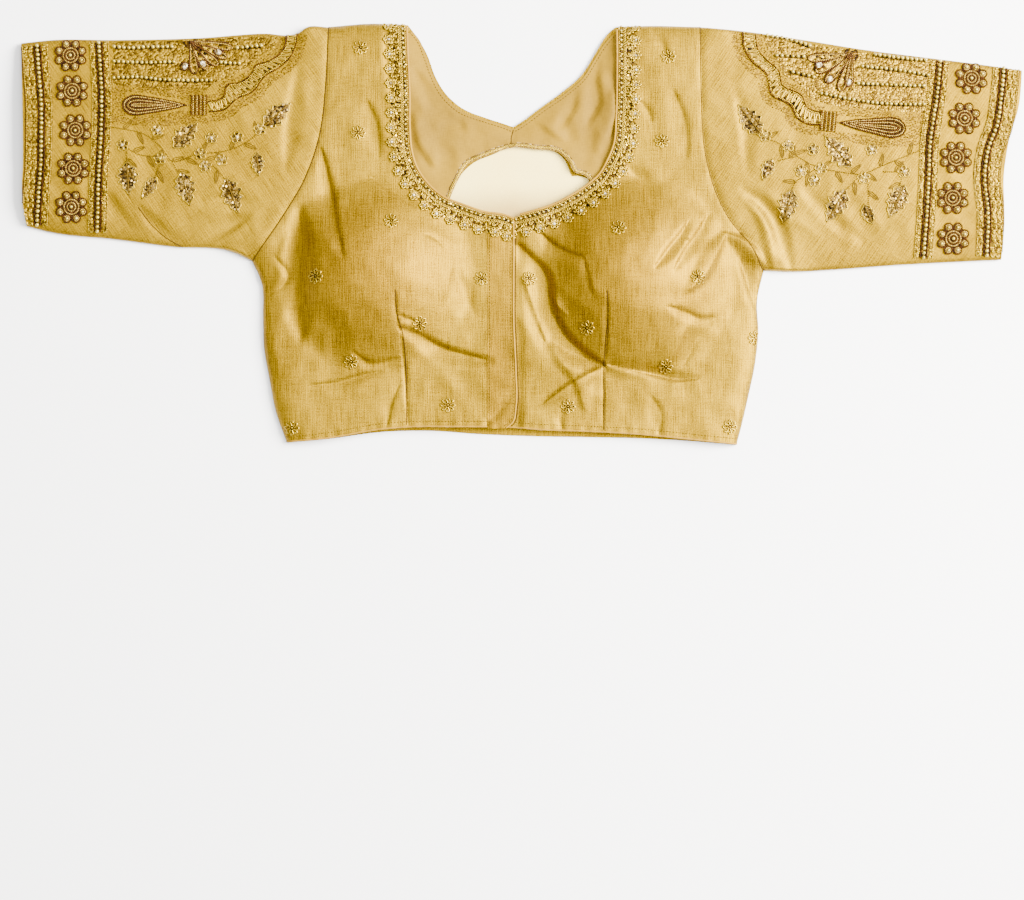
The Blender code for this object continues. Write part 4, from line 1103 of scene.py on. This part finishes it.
def sleevePiece(name, table):
    lines = [fineCurve(table[key]) for key in ("top", "under", "cuff", "armhole")]
    lines[3] = lines[3] + np.array([table["towardCuff"] * layers["clear"], 0.0])
    count, rows = sleeveDetail["round"], sleeveDetail["length"] + 1
    turn = 2.0 * math.pi * np.arange(count) / count
    t = np.tile(0.5 * (1.0 - np.cos(turn)), rows)
    s = np.repeat(np.linspace(0.0, 1.0, rows), count)
    upper = np.tile(np.sin(turn) > 0, rows)
    width = np.hypot(*(sleevePlan(lines, s, np.zeros_like(s)) - sleevePlan(lines, s, np.ones_like(s))).T)
    ending = smoothStep((s - sleeveDetail["roomFrom"]) / sleeveDetail["roomRun"])
    room = layers["clear"] + (layers["beadRoom"] - layers["clear"]) * (1.0 - ending)
    points = []
    for inset in (0.0, layers["wall"]):
        inner = inset / width
        tIn = inner + t * (1.0 - 2.0 * inner)
        plan = sleevePlan(lines, s, tIn)
        x, y = plan[:, 0], plan[:, 1]
        near = np.minimum(t, 1.0 - t) * width
        full = np.sqrt(1.0 - (1.0 - np.clip(near / (sleeveDetail["edgeRound"] - 0.6 * inset), 0.0, 1.0)) ** 2)
        middle = room + 0.5 * layers["sleeveEdge"]
        arc = np.sin(math.pi * tIn) ** 0.6
        edgeTop = room + layers["sleeveEdge"]
        uneven = crumpleHeight(x, y, 2.0)
        own = edgeTop + (layers["sleeveTop"] - edgeTop) * arc + (creaseHeight(x, y) + uneven) * np.minimum(
            1.0, 2.0 * arc ** 2)
        body = np.maximum(frontUnder(x, y) + layers["wall"] + layers["clear"], edgeTop)
        top = own + (body - own) * smoothStep((s - sleeveDetail["bodyFrom"]) / sleeveDetail["bodyRun"]) - inset
        z = np.where(upper, middle + (top - middle) * full, middle - (middle - room - inset) * full)
        z = np.where(np.abs(np.tile(np.sin(turn), rows)) < 1e-6, middle, z)
        points.append(np.column_stack([x, y, z]))
    inner = rows * count
    a = (np.arange(rows - 1)[:, None] * count + np.arange(count)[None, :]).ravel()
    b = (np.arange(rows - 1)[:, None] * count + (np.arange(count)[None, :] + 1) % count).ravel()
    outer = np.column_stack([a, b, b + count, a + count])
    inward = np.column_stack([a, a + count, b + count, b]) + inner
    j, k, last = np.arange(count), (np.arange(count) + 1) % count, (rows - 1) * count
    ends = np.vstack([np.column_stack([j, j + inner, k + inner, k]),
                      np.column_stack([j + last, k + last, k + last + inner, j + last + inner])])
    faces = np.vstack([outer, inward, ends])
    if table["towardCuff"] > 0:
        faces = faces[:, ::-1]
    bias = sleeveDetail["bias"] * table["towardCuff"]
    uv = np.column_stack([x * math.cos(bias) - y * math.sin(bias), x * math.sin(bias) + y * math.cos(bias)])
    piece = meshPiece(name, np.vstack(points), [tuple(face) for face in faces], np.vstack([uv, uv]))
    finished(piece, "silk", "silk", table["node"])
    return piece


sleevePieces = {name: sleevePiece(name, table) for name, table in sleeves.items()}
print("sleeves made")

# Bead work of the sleeves

sleeveWork = {
    "sleeveRight": {
        "rows": [[(-444, 172), (-441.5, 146), (-439, 116), (-439, 89), (-439.5, 65), (-441.5, 41), (-444, 8)],
                 [(-387.5, 175), (-384, 125), (-384.5, 89), (-387, 47), (-388.5, 2)]],
        "flowers": [(-413, 163), (-411, 130), (-408, 94), (-410, 59), (-412, 24)],
        "strings": [[(-373, 171), (-359, 170), (-341, 171), (-320, 171)], [(-260, 170), (-238, 172)],
                    [(-373, 157.5), (-346, 156.5), (-318, 157)], [(-275, 156.5), (-258, 155.5)],
                    [(-373, 142.5), (-350, 143), (-327, 140.5), (-284, 140)]],
        "lotus": {"centre": (-303, 176), "petals": [(-299, 146, 4.2), (-288, 150, 4.0), (-278, 154, 4.2),
                                                    (-270, 161, 4.0), (-265, 170, 4.0)],
                  "stones": [(-308, 153), (-291.5, 155), (-277.5, 166)]},
        "tassel": [(-365, 117), (-307, 117)], "binding": [(-302, 117), (-288, 117)],
        "ground": [(-376, 136), (-376, 176), (-320, 177), (-260, 180), (-222, 181), (-226, 170), (-240, 162),
                   (-250, 153), (-264, 144), (-280, 138), (-288, 132), (-330, 132)],
        "halo": [(-376, 100), (-376, 135), (-286, 133), (-290, 128), (-305, 122), (-360, 130), (-369, 117),
                 (-360, 105), (-305, 112), (-288, 106), (-286, 100), (-330, 98)],
        "archInner": [(-287, 120), (-273, 124), (-269, 136), (-258, 138), (-247, 146), (-243, 154), (-233, 157),
                      (-223, 163), (-217, 171), (-215, 182)],
        "archOuter": [(-285, 111), (-271, 113), (-260, 123), (-246, 129), (-234, 144), (-221, 152), (-211, 162),
                      (-207, 171), (-205, 183)],
        "leaves": [(-236, 97, -211, 120, 8.4), (-318, 78, -296, 101, 8.4), (-361, 65, -359, 35, 8.8),
                   (-311, 56, -303, 25, 8.4), (-270, 50, -259, 18, 8.8), (-334, 52, -347, 31, 5.4),
                   (-242, 74, -240, 52, 5.4)],
        "blooms": [(-239, 95), (-260, 87.5), (-283.5, 87), (-293.5, 72.5), (-274, 67), (-289, 61), (-330.5, 68),
                   (-333, 94), (-364.5, 80.5)],
        "stems": [[(-374, 97), (-342, 89), (-329, 78), (-320, 66), (-297, 72), (-267, 76), (-248, 85), (-233, 101)],
                  [(-364, 80), (-350, 72), (-330, 70)], [(-361, 78), (-361, 62)], [(-320, 66), (-312, 52)],
                  [(-297, 72), (-280, 60), (-270, 48)], [(-329, 66), (-336, 50)]],
        # a dark thread laid as painted shadow in the crease
        "seams": [[(-351, 24), (-339, 8), (-327, -3), (-310, -13)]],
    },
    "sleeveLeft": {
        "rows": [[(443, 152), (439, 120), (435, 97), (428.5, 81), (424, 50), (427, 23), (427, -20)],
                 [(384.5, 158), (380.5, 124), (374.5, 86), (372.5, 43), (369, -22)]],
        "flowers": [(413, 142), (406, 105), (398, 69), (395, 32), (396, -5)],
        "strings": [[(226, 182), (247, 178), (265, 172)], [(325, 164), (348, 161), (371, 159)],
                    [(234, 163), (259, 162)], [(313, 153), (344, 150), (373, 145)], [(249, 148), (268, 143)],
                    [(309, 137), (339, 136), (369, 135)], [(275, 128), (312, 121), (348, 118), (369, 118)]],
        "lotus": {"centre": (303, 164), "petals": [(292, 130, 4.6), (279, 138, 4.4), (270, 148, 4.6),
                                                   (263, 160, 4.4), (300, 134, 4.2)],
                  "stones": [(273, 154), (283, 141), (300, 138)]},
        "tassel": [(352, 95), (292, 101)], "binding": [(288, 101.5), (274, 103)],
        "ground": [(372, 128), (376, 158), (320, 165), (260, 175), (222, 181), (226, 168), (236, 158), (242, 144),
                   (258, 134), (266, 122), (290, 116), (330, 112), (370, 110)],
        "halo": [(370, 80), (370, 109), (330, 111), (292, 115), (290, 108), (345, 104), (356, 94), (345, 86),
                 (292, 92), (278, 94), (276, 88), (330, 78)],
        "archInner": [(276, 110), (262, 115), (257, 126), (239, 136), (236, 149), (226, 158), (217, 169), (215, 182)],
        "archOuter": [(276, 99), (265, 99), (252, 106), (247, 116), (229, 127), (225, 145), (212, 157), (204, 170),
                      (203, 184)],
        "leaves": [(220, 90, 199, 118, 8.6), (302, 60, 278, 89, 8.8), (248, 40, 240, 8, 8.4), (297, 40, 280, 10, 8.8),
                   (351, 44, 337, 14, 8.8), (314, 26, 322, 8, 5.4), (230, 68, 221, 48, 5.4)],
        "blooms": [(223.5, 89), (244.5, 80), (267.5, 76.5), (274.5, 59), (256, 57), (268.5, 48), (313.5, 50.5),
                   (321, 76.5), (350.5, 56)],
        "stems": [[(216, 90), (236, 82), (250, 72), (272, 60), (292, 56), (312, 54), (332, 62), (366, 76)],
                  [(236, 66), (252, 70)], [(272, 60), (250, 44), (246, 34)], [(312, 54), (298, 40)],
                  [(332, 56), (348, 54), (347, 42)], [(318, 48), (318, 26)]],
        "seams": [],
    },
}
flowerLook = {"petals": 8, "beadAt": 11.2, "loop": 3.9, "rings": (("silver", 6.8), ("cord", 5.4), ("silver", 3.9)),
              "core": 2.5, "ground": 12.4}
tasselLook = {"half": 9.4, "loops": (0.0, 3.3, 6.6), "paleInset": 1.6, "cordsAcross": 5, "blockHalf": 9.0}


def around(centre, radius, turn):
    return centre[0] + radius * math.cos(turn), centre[1] + radius * math.sin(turn)


def ring(centre, radius, steps=14, start=0.0):
    return [around(centre, radius, start + 2 * math.pi * k / steps) for k in range(steps)]


# Both edges of a form that bulges to each side of the way from its foot to its tip
def bothEdges(foot, tip, share, bulge):
    foot, tip = np.array(foot, float), np.array(tip, float)
    run = tip - foot
    side = np.array([-run[1], run[0]]) / np.hypot(*run)
    one = foot + share[:, None] * run + bulge[:, None] * side
    other = foot + share[:, None] * run - bulge[:, None] * side
    return np.vstack([one, other[::-1][1:-1]])


# A loop from its foot to its tip; blunt puts the widest place near the tip
def dropLoop(foot, tip, half, blunt=1.5, steps=13):
    share = np.sin(np.linspace(0.0, 0.5 * math.pi, steps)) ** 1.2
    end = np.sqrt(1.0 - np.clip((share - 0.78) / 0.22, 0.0, 1.0) ** 2)
    return bothEdges(foot, tip, share, half * np.clip(share / 0.78, 0.0, 1.0) ** (blunt / 2.0) * end)


def leafOutline(foot, tip, half, teeth=5):
    share = np.linspace(0.0, 1.0, teeth * 4 + 1)
    bulge = half * np.sin(math.pi * share ** 0.8) * (0.8 + 0.2 * np.cos(2 * math.pi * teeth * share))
    return joined(bothEdges(foot, tip, share, bulge))


def strip(line, near, far):
    return joined(movedAside(line, near), movedAside(line, far)[::-1])


# Two waves that cross make a row of chain loops
def chainRow(face, line, aside, swing=1.5, every=3.6, lift=0.7):
    line = resampled(movedAside(line, aside), 0.6)
    turn = 2.0 * math.pi * 0.6 * np.arange(len(line)) / every
    for phase in (0.0, math.pi):
        face.lay("thread", movedAside(line, swing * np.sin(turn + phase)), lift, step=0.8)


def beadFlower(face, centre):
    look = flowerLook
    face.fill("brown", ring(centre, look["ground"], 24), 0.3)
    for k in range(look["petals"]):
        turn = 2 * math.pi * (k + 0.5) / look["petals"]
        spot = around(centre, look["beadAt"], turn)
        face.lay("cord", ring(spot, look["loop"], 12, turn), 1.2, closed=True)
        face.lay("silver", ring(spot, look["loop"] - 1.5, 9, turn), 0.9, closed=True)
        face.dot("bigPearl", *spot, 1.9)
    for kind, radius in look["rings"]:
        face.lay(kind, ring(centre, radius, 20), 1.6, closed=True)
    face.lay("cord", ring(centre, look["core"], 12), 2.0, closed=True)
    face.dot("bigPearl", *centre, 2.3)


def bloom(face, centre, middle, size=5.8):
    face.fill("leaf", ring(centre, 0.72 * size, 12), 0.35)
    for k in range(5):
        turn = 2 * math.pi * k / 5 + 0.4
        spot = around(centre, 0.62 * size, turn)
        face.lay("thread", ring(spot, 0.40 * size, 8), 0.6, closed=True)
    face.fill("leafSequin", ring(centre, 0.8 * size, 10), 0.9)
    face.dot(middle, *centre, 1.1)


# A spiral of gold coil, and a row of them
def curl(centre, radius, start, way, turns=1.35, steps=13):
    share = np.linspace(0.12, 1.0, steps)
    turn = start + way * 2.0 * math.pi * turns * share
    return np.column_stack([centre[0] + radius * share * np.cos(turn), centre[1] + radius * share * np.sin(turn)])


def curlRow(face, line, aside, radius, every, start=0):
    for k, spot in enumerate(resampled(movedAside(line, aside), every)):
        face.lay("bugle", curl(spot, radius, 1.7 * k + start, 1.0 if (k + start) % 2 else -1.0), 0.9, step=1.1)


def sprayLeaf(face, foot, turn, length=12.5):
    tip = around(foot, length, turn)
    face.lay("spray", leafOutline(foot, tip, 2.7, 1), 0.4, closed=True)
    face.lay("spray", [foot, tip], 0.3)


# The outer and the inner pearl row of a cuff, with what is worked beside each
cuffLook = {"grounds": ((14.5, 10.2), (8.4, 8.6)), "underPearls": 3.6, "cordAside": 2.9,
            "curls": (((-6.2, 2.1), (-10.7, 2.1), (6.2, 1.9)), ((-5.8, 1.8), (6.0, 1.8))),
            "seeds": ((-13.6, 9.0), (-8.2, 8.4)), "edgeCord": 14.4}


def workCuff(face, table):
    look = cuffLook
    lines = [curveOf(row, 2.0) for row in table["rows"]]
    way = -1.0 if table["side"] > 0 else 1.0
    for line, (out, back) in zip(lines, look["grounds"]):
        face.fill("glitter", strip(line, -way * out, way * back), 0.3)
    for line in lines:
        # Painted shade: a dark strip under each pearl row darkens the gaps between the pearls
        face.fill("brown", strip(line, -look["underPearls"], look["underPearls"]), 0.42)
        face.lay("pearl", line, 1.9)
        for aside in (-look["cordAside"], look["cordAside"]):
            face.lay("cord", movedAside(line, aside), 1.0)
    for line, curls in zip(lines, look["curls"]):
        for aside, radius in curls:
            curlRow(face, line, way * aside, radius, 2.05 * radius)
    for line, asides in zip(lines, look["seeds"]):
        for aside in asides:
            face.lay("seed", movedAside(line, way * aside), 0.7)
    face.lay("cord", movedAside(lines[0], -way * look["edgeCord"]), 0.5)


def workTassel(face, table):
    start, end = (np.array(point, float) for point in table["tassel"])
    along = (end - start) / math.hypot(*(end - start))
    side = np.array([-along[1], along[0]])
    look = tasselLook
    face.fill("brown", joined(dropLoop(end, start, look["half"])), 0.35)
    for inset in look["loops"]:
        face.lay("cord", dropLoop(end - along * 2.0 * inset, start + along * inset, look["half"] - inset), 1.4,
                 closed=True)
        pale = inset + look["paleInset"]
        if pale < look["half"] - 1.0:
            face.lay("silver", dropLoop(end - along * 2.0 * pale, start + along * pale, look["half"] - pale), 1.2,
                     closed=True)
    first, last = (np.array(point, float) for point in table["binding"])
    for k in range(2 * look["cordsAcross"] - 1):
        middle = first + (last - first) * k / (2.0 * look["cordsAcross"] - 2.0)
        half = look["blockHalf"] - (0.8 if k % 2 else 0.0)
        face.lay("silver" if k % 2 else "cord", [tuple(middle - side * half), tuple(middle + side * half)],
                 1.2 if k % 2 else 1.5)
    face.lay("silver", [tuple(end), tuple(first)], 1.0)


def workArch(face, table):
    inner, outer = curveOf(table["archInner"], 2.0), curveOf(table["archOuter"], 2.0)
    face.fill("zari", joined(inner, outer[::-1]), 0.3)
    away = -1.0 if table["side"] < 0 else 1.0
    for line, aside in ((inner, away * 1.5), (outer, -away * 1.5)):
        face.lay("cord", line, 1.2)
        face.lay("seed", movedAside(line, aside), 0.9)
    steps = 24
    for k in range(steps):
        a = atShare(inner, np.array([(k + 0.15) / steps]))[0]
        b = atShare(outer, np.array([(k + 0.5) / steps]))[0]
        c = atShare(inner, np.array([(k + 0.85) / steps]))[0]
        cut = 0.22
        face.lay("bugle", [tuple(a + (b - a) * cut), tuple(b + (a - b) * cut)], 1.0)
        face.lay("bugle", [tuple(b + (c - b) * cut), tuple(c + (b - c) * cut)], 1.0)
    face.fill("stipple", strip(outer, away * 1.6, away * 9.0), 0.4)
    face.fill("stipple", strip(inner, -away * 1.6, -away * 6.0), 0.4)


def workSleeve(part, table, face):
    workCuff(face, table)
    for centre in table["flowers"]:
        beadFlower(face, centre)
    face.fill("glitter", table["ground"], 0.3)
    face.fill("stipple", table["halo"], 0.4)
    for line in table["strings"]:
        # Painted shade: a dark strip under each pearl string darkens the gaps between the pearls
        face.fill("brown", strip(curveOf(line, 2.0), -2.1, 1.2), 0.5)
        face.lay("pearl", curveOf(line, 2.0), 1.9)
    workArch(face, table)
    workTassel(face, table)
    lotus = table["lotus"]
    face.fill("brown", ring(lotus["centre"], 7.0, 14), 0.5)
    for x, y, half in lotus["petals"]:
        face.fill("zari", joined(dropLoop(lotus["centre"], (x, y), half)), 0.55)
        face.lay("cord", dropLoop(lotus["centre"], (x, y), half), 1.4, closed=True)
        face.lay("silver", dropLoop(lotus["centre"], (x, y), half - 1.4), 1.2, closed=True)
    for x, y in lotus["stones"]:
        face.lay("cord", ring((x, y), 3.9, 12), 1.4, closed=True)
        out = 0.05 * (np.array([x, y]) - lotus["centre"]) / math.hypot(x - lotus["centre"][0], y - lotus["centre"][1])
        face.lay("drop", [(x - out[0], y - out[1]), (x + out[0], y + out[1])], 1.0, step=0.1)
    for x0, y0, x1, y1, half in table["leaves"]:
        outline = leafOutline((x0, y0), (x1, y1), 1.22 * half)
        face.fill("leaf", outline, 0.4)
        face.fill("leafSequin", leafOutline((x0, y0), (x1, y1), half), 0.9)
        face.lay("thread", outline, 0.7, closed=True)
        face.lay("spray", [(x0, y0), (x1, y1)], 1.1)
    for line in table["stems"]:
        stem = curveOf(line, 2.0)
        face.lay("stem", stem, 0.5)
        for k in range(5, len(stem) - 2, 7):
            run = stem[k] - stem[k - 1]
            sprayLeaf(face, tuple(stem[k]), math.atan2(run[1], run[0]) + (0.9 if k % 2 else -0.9))
    for k, centre in enumerate(table["blooms"]):
        bloom(face, centre, "neckPearl" if k % 3 == 0 else "stone")
    # dark threads laid as painted shadow in the creases
    for line in table["seams"]:
        face.lay("seam", curveOf(line, 2.0), 0.0)


for part, table in sleeveWork.items():
    table["side"] = sleeves[part]["towardCuff"]
    for fromAbove in (True, False):
        face = Face(part, faceHeight(sleevePieces[part], fromAbove), 1.0 if fromAbove else -1.0)
        workSleeve(part, table, face)
    growWork(part)
print("sleeves worked")

# Hide the plain solids of the raised work behind the grown pieces
for part, side in (("sleeveRight", "right"), ("sleeveLeft", "left")):
    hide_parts(*[f"flower_{side}_{k}" for k in range(1, 6)])
    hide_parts(f"tassel_{side}", f"lotus_{side}")
    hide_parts(f"arch_{side}")

# Bead work of the front: the neck band and the scattered sprigs

neckLook = {"pearls": 4.9, "pearlEvery": 4.4, "ground": (3.0, 18.4), "chain": 8.0, "curls": ((11.4, 2.6), (15.6, 2.4)),
            "curlEvery": 5.3, "flowerAt": 18.2, "flowerEvery": 13.6}
sprigs = {
    "frontRight": [(-147, 170), (-149, 92), (-118, 10), (-187, -40.5), (-36, -41.5), (-92, -83.5), (-155.5, -118),
                   (-67, -157.5), (-210, -178.5)],
    "frontLeft": [(135, 162), (129, 84.5), (88.5, 3.5), (161, -41.5), (7.5, -41.5), (60, -87.5), (132.5, -122.5),
                  (43, -159), (191.5, -177.5), (215, -96)],
}


# One hooked petal of a sprig: share of its size out from the centre, and turn
sprigHook = ((0.25, 0.0), (0.75, 0.28), (0.95, -0.12), (0.66, -0.24))


def sprig(face, centre, size=7.6):
    face.fill("brown", ring(centre, 0.5 * size, 10), 0.2)
    for k in range(8):
        turn = 2 * math.pi * k / 8
        hook = [around(centre, share * size, turn + bend) for share, bend in sprigHook]
        face.lay("bugle", hook, 0.5, step=0.9)
        face.dot("cord", *around(centre, 0.7 * size, turn + 0.02), 0.1)
    face.dot("seed", *centre, 0.8)


def neckBand(face, line):
    near, far = neckLook["ground"]
    fine = resampled(line, 1.2)
    wave = 1.3 * np.sin(2.0 * math.pi * 1.2 * np.arange(len(fine)) / neckLook["curlEvery"])
    ground = joined(movedAside(fine, -near), movedAside(fine, wave - far)[::-1])
    face.fill("brown", ground, 0.25)
    face.fill("sequin", ground, 0.7)
    face.lay("seed", movedAside(line, -near), 0.5)
    for x, y in resampled(movedAside(line, -neckLook["pearls"]), neckLook["pearlEvery"]):
        face.dot("neckPearl", x, y, 0.9)
    chainRow(face, line, -neckLook["chain"], 1.4, 4.4)
    for row, (aside, radius) in enumerate(neckLook["curls"]):
        curlRow(face, line, -aside, radius, neckLook["curlEvery"], row)
    for x, y in resampled(movedAside(line, -neckLook["flowerAt"]), neckLook["flowerEvery"]):
        face.fill("brown", ring((x, y), 5.0, 12), 0.45)
        for k in range(6):
            face.lay("bugle", ring(around((x, y), 3.3, k * 1.047), 1.45, 7), 1.1, closed=True)
        face.dot("stone", x, y, 1.3)


face = Face("lining", faceHeight(lining), 1.0)
liningEdge = np.array(joined(curveOf(liningTables["neck"]), curveOf(liningTables["neckLeft"])))
face.lay("stitch", movedAside(liningEdge, -2.4), 0.1)
face.fill("fray", strip(curveOf(liningTables["window"]), -0.4, -4.4), 0.12)
overlock = curveOf(liningTables["window"], 0.6)
for phase in (0.0, math.pi):
    face.lay("thread", movedAside(overlock, -2.2 + 1.5 * np.sin(2.0 * math.pi * 0.6 * np.arange(len(overlock)) / 2.6
                                                              + phase)), 0.2, step=0.8)
# painted shadow down the centre seam of the lining
face.lay("seam", [(-7, 95), (-9, 88), (-9, 80)], 0.0)
growWork("lining")

# Painted shadow: dark threads laid along the armholes, darts and placket edge where the cloth dips into them, and the
# rolled hem
darts = {
    "frontRight": [(-114, -53), (-113, -72), (-108, -92), (-105, -130), (-105, -176)],
    "frontLeft": [(78, -54), (79, -75), (77, -100), (76, -121), (76, -150), (76, -180)],
}
seams = {
    "frontRight": [movedAside(curves["armholeRight"], 0.7), curveOf(darts["frontRight"])],
    "frontLeft": [movedAside(curves["armholeLeft"], -0.7), curveOf(darts["frontLeft"]),
                  movedAside(curveOf(placketEdge), 0.9)],
}
hems = {"frontRight": movedAside(hemToPlacket, 0.9), "frontLeft": movedAside(curves["hemFrontLeft"][3:], 0.9)}

for part, piece, line in (("frontRight", frontRight, curves["neckRight"]),
                          ("frontLeft", frontLeft, curves["neckLeft"])):
    face = Face(part, faceHeight(piece), 1.0)
    neckBand(face, line)
    for centre in sprigs[part]:
        sprig(face, centre)
    # dark threads laid as painted shadow along the seams and the placket edge
    for seam in seams[part]:
        face.lay("seam", seam, 0.0)
    face.lay("rolled", hems[part], 0.1)
    face.lay("stitch", movedAside(hems[part], 4.6), 0.1)
    growWork(part)

face = Face("placket", faceHeight(placket), 1.0)
neckBand(face, np.array([point for point in curves["neckRight"] if point[0] > -33.0]))
face.lay("rolled", movedAside(curveOf(placketEdge), -0.9), 0.2)
face.lay("stitch", movedAside(curveOf(placketEdge), -3.2), 0.1)
face.lay("stitch", curveOf([(-29.0, -176.0), (-28.6, 12.0)]), 0.1)
growWork("placket")
print("front worked")

# Bead work under the back: the border of the window and neck, sprigs and the patch
borderLook = {"band": (0.8, 9.0), "rope": 1.6, "posies": (5.2, 10.6), "cords": (9.9, 13.8), "pearls": (11.9, 15.8),
              "fringe": (18.0,), "apart": 16.8}


# The parts of a line that keep clear of another
def clearRuns(line, other, gap):
    far = distanceTo(line[:, 0], line[:, 1], other) > gap
    turns = np.flatnonzero(np.diff(far.astype(int))) + 1
    return [run for run, kept in zip(np.split(line, turns), np.split(far, turns)) if kept[0] and len(run) > 2]


def border(face, line, outward, other, gap):
    face.fill("zari", strip(line, outward * borderLook["band"][0], outward * borderLook["band"][1]), 0.3)
    face.lay("seed", movedAside(line, outward * borderLook["rope"]), 0.8)
    aside, every = borderLook["posies"]
    for x, y in resampled(movedAside(line, outward * aside), every):
        face.lay("bugle", ring((x, y), 2.0, 8), 0.8, closed=True)
        face.dot("seed", x, y, 1.0)
    for kind, asides in (("cord", borderLook["cords"]), ("neckPearl", borderLook["pearls"]),
                         ("dots", borderLook["fringe"])):
        for aside in asides:
            for run in clearRuns(movedAside(line, outward * aside), other, gap):
                face.lay(kind, run, 1.2)


backFace = Face("back", faceHeight(back, False), -1.0)
windowClosed = np.array(windowLoop + windowLoop[:1])
outwardWay = 1.0 if movedAside(windowClosed, 5.0)[:, 0].max() > windowClosed[:, 0].max() else -1.0
border(backFace, windowClosed, outwardWay, curves["neckBack"], 8.0)
border(backFace, curves["neckBack"], -1.0, windowClosed, borderLook["apart"])
for centre in backSprigs:
    sprig(backFace, centre)
growWork("back")

patchFace = Face("patch", faceHeight(patch, False), -1.0)
patchDrops = {"span": 216.0, "heart": -42.0, "cord": (-4.0, -66.0, 3.0, -28.0, 8.0),
              "silver": (-3.0, -63.0, 2.0, -33.0, 5.6), "zari": (-3.0, -62.0, 2.0, -34.0, 4.6)}


def patchDrop(kind, middle):
    footX, footY, tipX, tipY, half = patchDrops[kind]
    return dropLoop((middle + footX, footY), (middle + tipX, tipY), half)


for k in range(patchSize["scallops"]):
    middle = patchSize["topRight"][0] + (k + 0.5) * (patchDrops["span"] / patchSize["scallops"])
    patchFace.lay("cord", patchDrop("cord", middle), 1.1, closed=True)
    patchFace.lay("silver", patchDrop("silver", middle), 1.0, closed=True)
    patchFace.fill("zari", joined(patchDrop("zari", middle)), 0.5)
    patchFace.dot("neckPearl", middle, patchDrops["heart"], 1.2)
patchFace.fill("glitter", joined(resampled([(-110, -69), (-110, -31), (101, -31), (101, -67), (-110, -69)], 6.0)), 0.3)
for aside in (1.2, 3.4):
    patchFace.lay("bugle", np.array(patchTop()) - np.array([0.0, aside]), 0.8)
patchFace.lay("neckPearl", [(-110, -72), (0, -71), (103, -69)], 1.4)
lattice = {"from": -108.0, "step": 8.7, "count": 24, "rows": (-77.0, -90.5, -104.0), "tilt": 0.012}
for k in range(lattice["count"]):
    x = lattice["from"] + lattice["step"] * k
    for top, foot in zip(lattice["rows"], lattice["rows"][1:]):
        rise = lattice["tilt"] * (x - lattice["from"])
        for a, b in ((x, x + lattice["step"]), (x + lattice["step"], x)):
            patchFace.lay("bugle", [(a, top + rise), (b, foot + rise)], 0.7)
    for row in lattice["rows"]:
        patchFace.dot("seed", x, row + lattice["tilt"] * (x - lattice["from"]), 1.0)
growWork("patch")
print("back worked")

# What each cloth was cut to
cuts = [
    (frontRight, (0.235, 0.400), 0.074, "laid", ["back"]),
    (frontLeft, (0.265, 0.400), 0.083, "laid", ["back"]),
    (back, (0.480, 0.395), 0.120, "laid", []),
    (lining, (0.215, 0.165), 0.019, "laid", ["net"]),
    (net, (0.240, 0.205), 0.040, "laid", ["back"]),
    (patch, (0.224, 0.092), 0.0188, "laid", []),
    (placket, (0.028, 0.198), 0.0053, "laid", ["frontLeft"]),
    (sleevePieces["sleeveRight"], (0.430, 0.290), 0.101, "laid", []),
    (sleevePieces["sleeveLeft"], (0.445, 0.305), 0.110, "laid", []),
]
for piece, flat, area, held, rests in cuts:
    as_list(rests)

# Floor, light and camera

floorHalf = 14
floorMesh = bpy.data.meshes.new("floor")
floorMesh.from_pydata([(x * floorHalf, y * floorHalf, 0) for x, y in ((-1, -1), (1, -1), (1, 1), (-1, 1))], [],
                      [(0, 1, 2, 3)])
floor = bpy.data.objects.new("floor", floorMesh)
bpy.context.scene.collection.objects.link(floor)
floorPaint = Paint("paleFloor", 0.9)
floorTone = floorPaint.noise(floorPaint.objectPlace(), 3.0, 3.0)
floorPaint.set("Base Color", floorPaint.mixed(floorTone, (0.94, 0.94, 0.935), (0.97, 0.97, 0.965)))
floorMesh.materials.append(floorPaint.material)

lamps = [
    ("keyLamp", (2.3, 0.4, 2.0), (0.0, 0.0, 0.0), 1.8, 930.0, (1.0, 0.98, 0.95)),
    ("fillLamp", (0.1, 0.4, 2.7), (0.0, -0.2, 0.0), 2.0, 130.0, (1.0, 1.0, 1.0)),
]
for name, place, aim, size, power, colour in lamps:
    lampData = bpy.data.lights.new(name, "AREA")
    lampData.size, lampData.energy, lampData.color = size, power, colour
    lamp = bpy.data.objects.new(name, lampData)
    lamp.location = place
    lamp.rotation_euler = (Vector(aim) - Vector(place)).to_track_quat("-Z", "Y").to_euler()
    bpy.context.scene.collection.objects.link(lamp)

world = bpy.data.worlds.new("softRoom")
world.use_nodes = True
world.node_tree.nodes["Background"].inputs[0].default_value = (1.0, 0.99, 0.97, 1.0)
world.node_tree.nodes["Background"].inputs[1].default_value = 0.64
bpy.context.scene.world = world

# The picture is 1024 by 900 and one pixel is 0.92 mm on the blouse
view = {"lens": 100.0, "sensor": 36.0, "pixel": 0.92, "width": 1024, "aim": (-8.3, -198.7), "farthest": 60.0}
cameraData = bpy.data.cameras.new("camera")
cameraData.lens, cameraData.sensor_width = view["lens"], view["sensor"]
cameraData.clip_end = view["farthest"]
camera = bpy.data.objects.new("camera", cameraData)
distance = view["width"] * view["pixel"] * view["lens"] / view["sensor"]
camera.location = Vector((view["aim"][0], view["aim"][1], distance)) * mm + shift
bpy.context.scene.collection.objects.link(camera)
bpy.context.scene.camera = camera
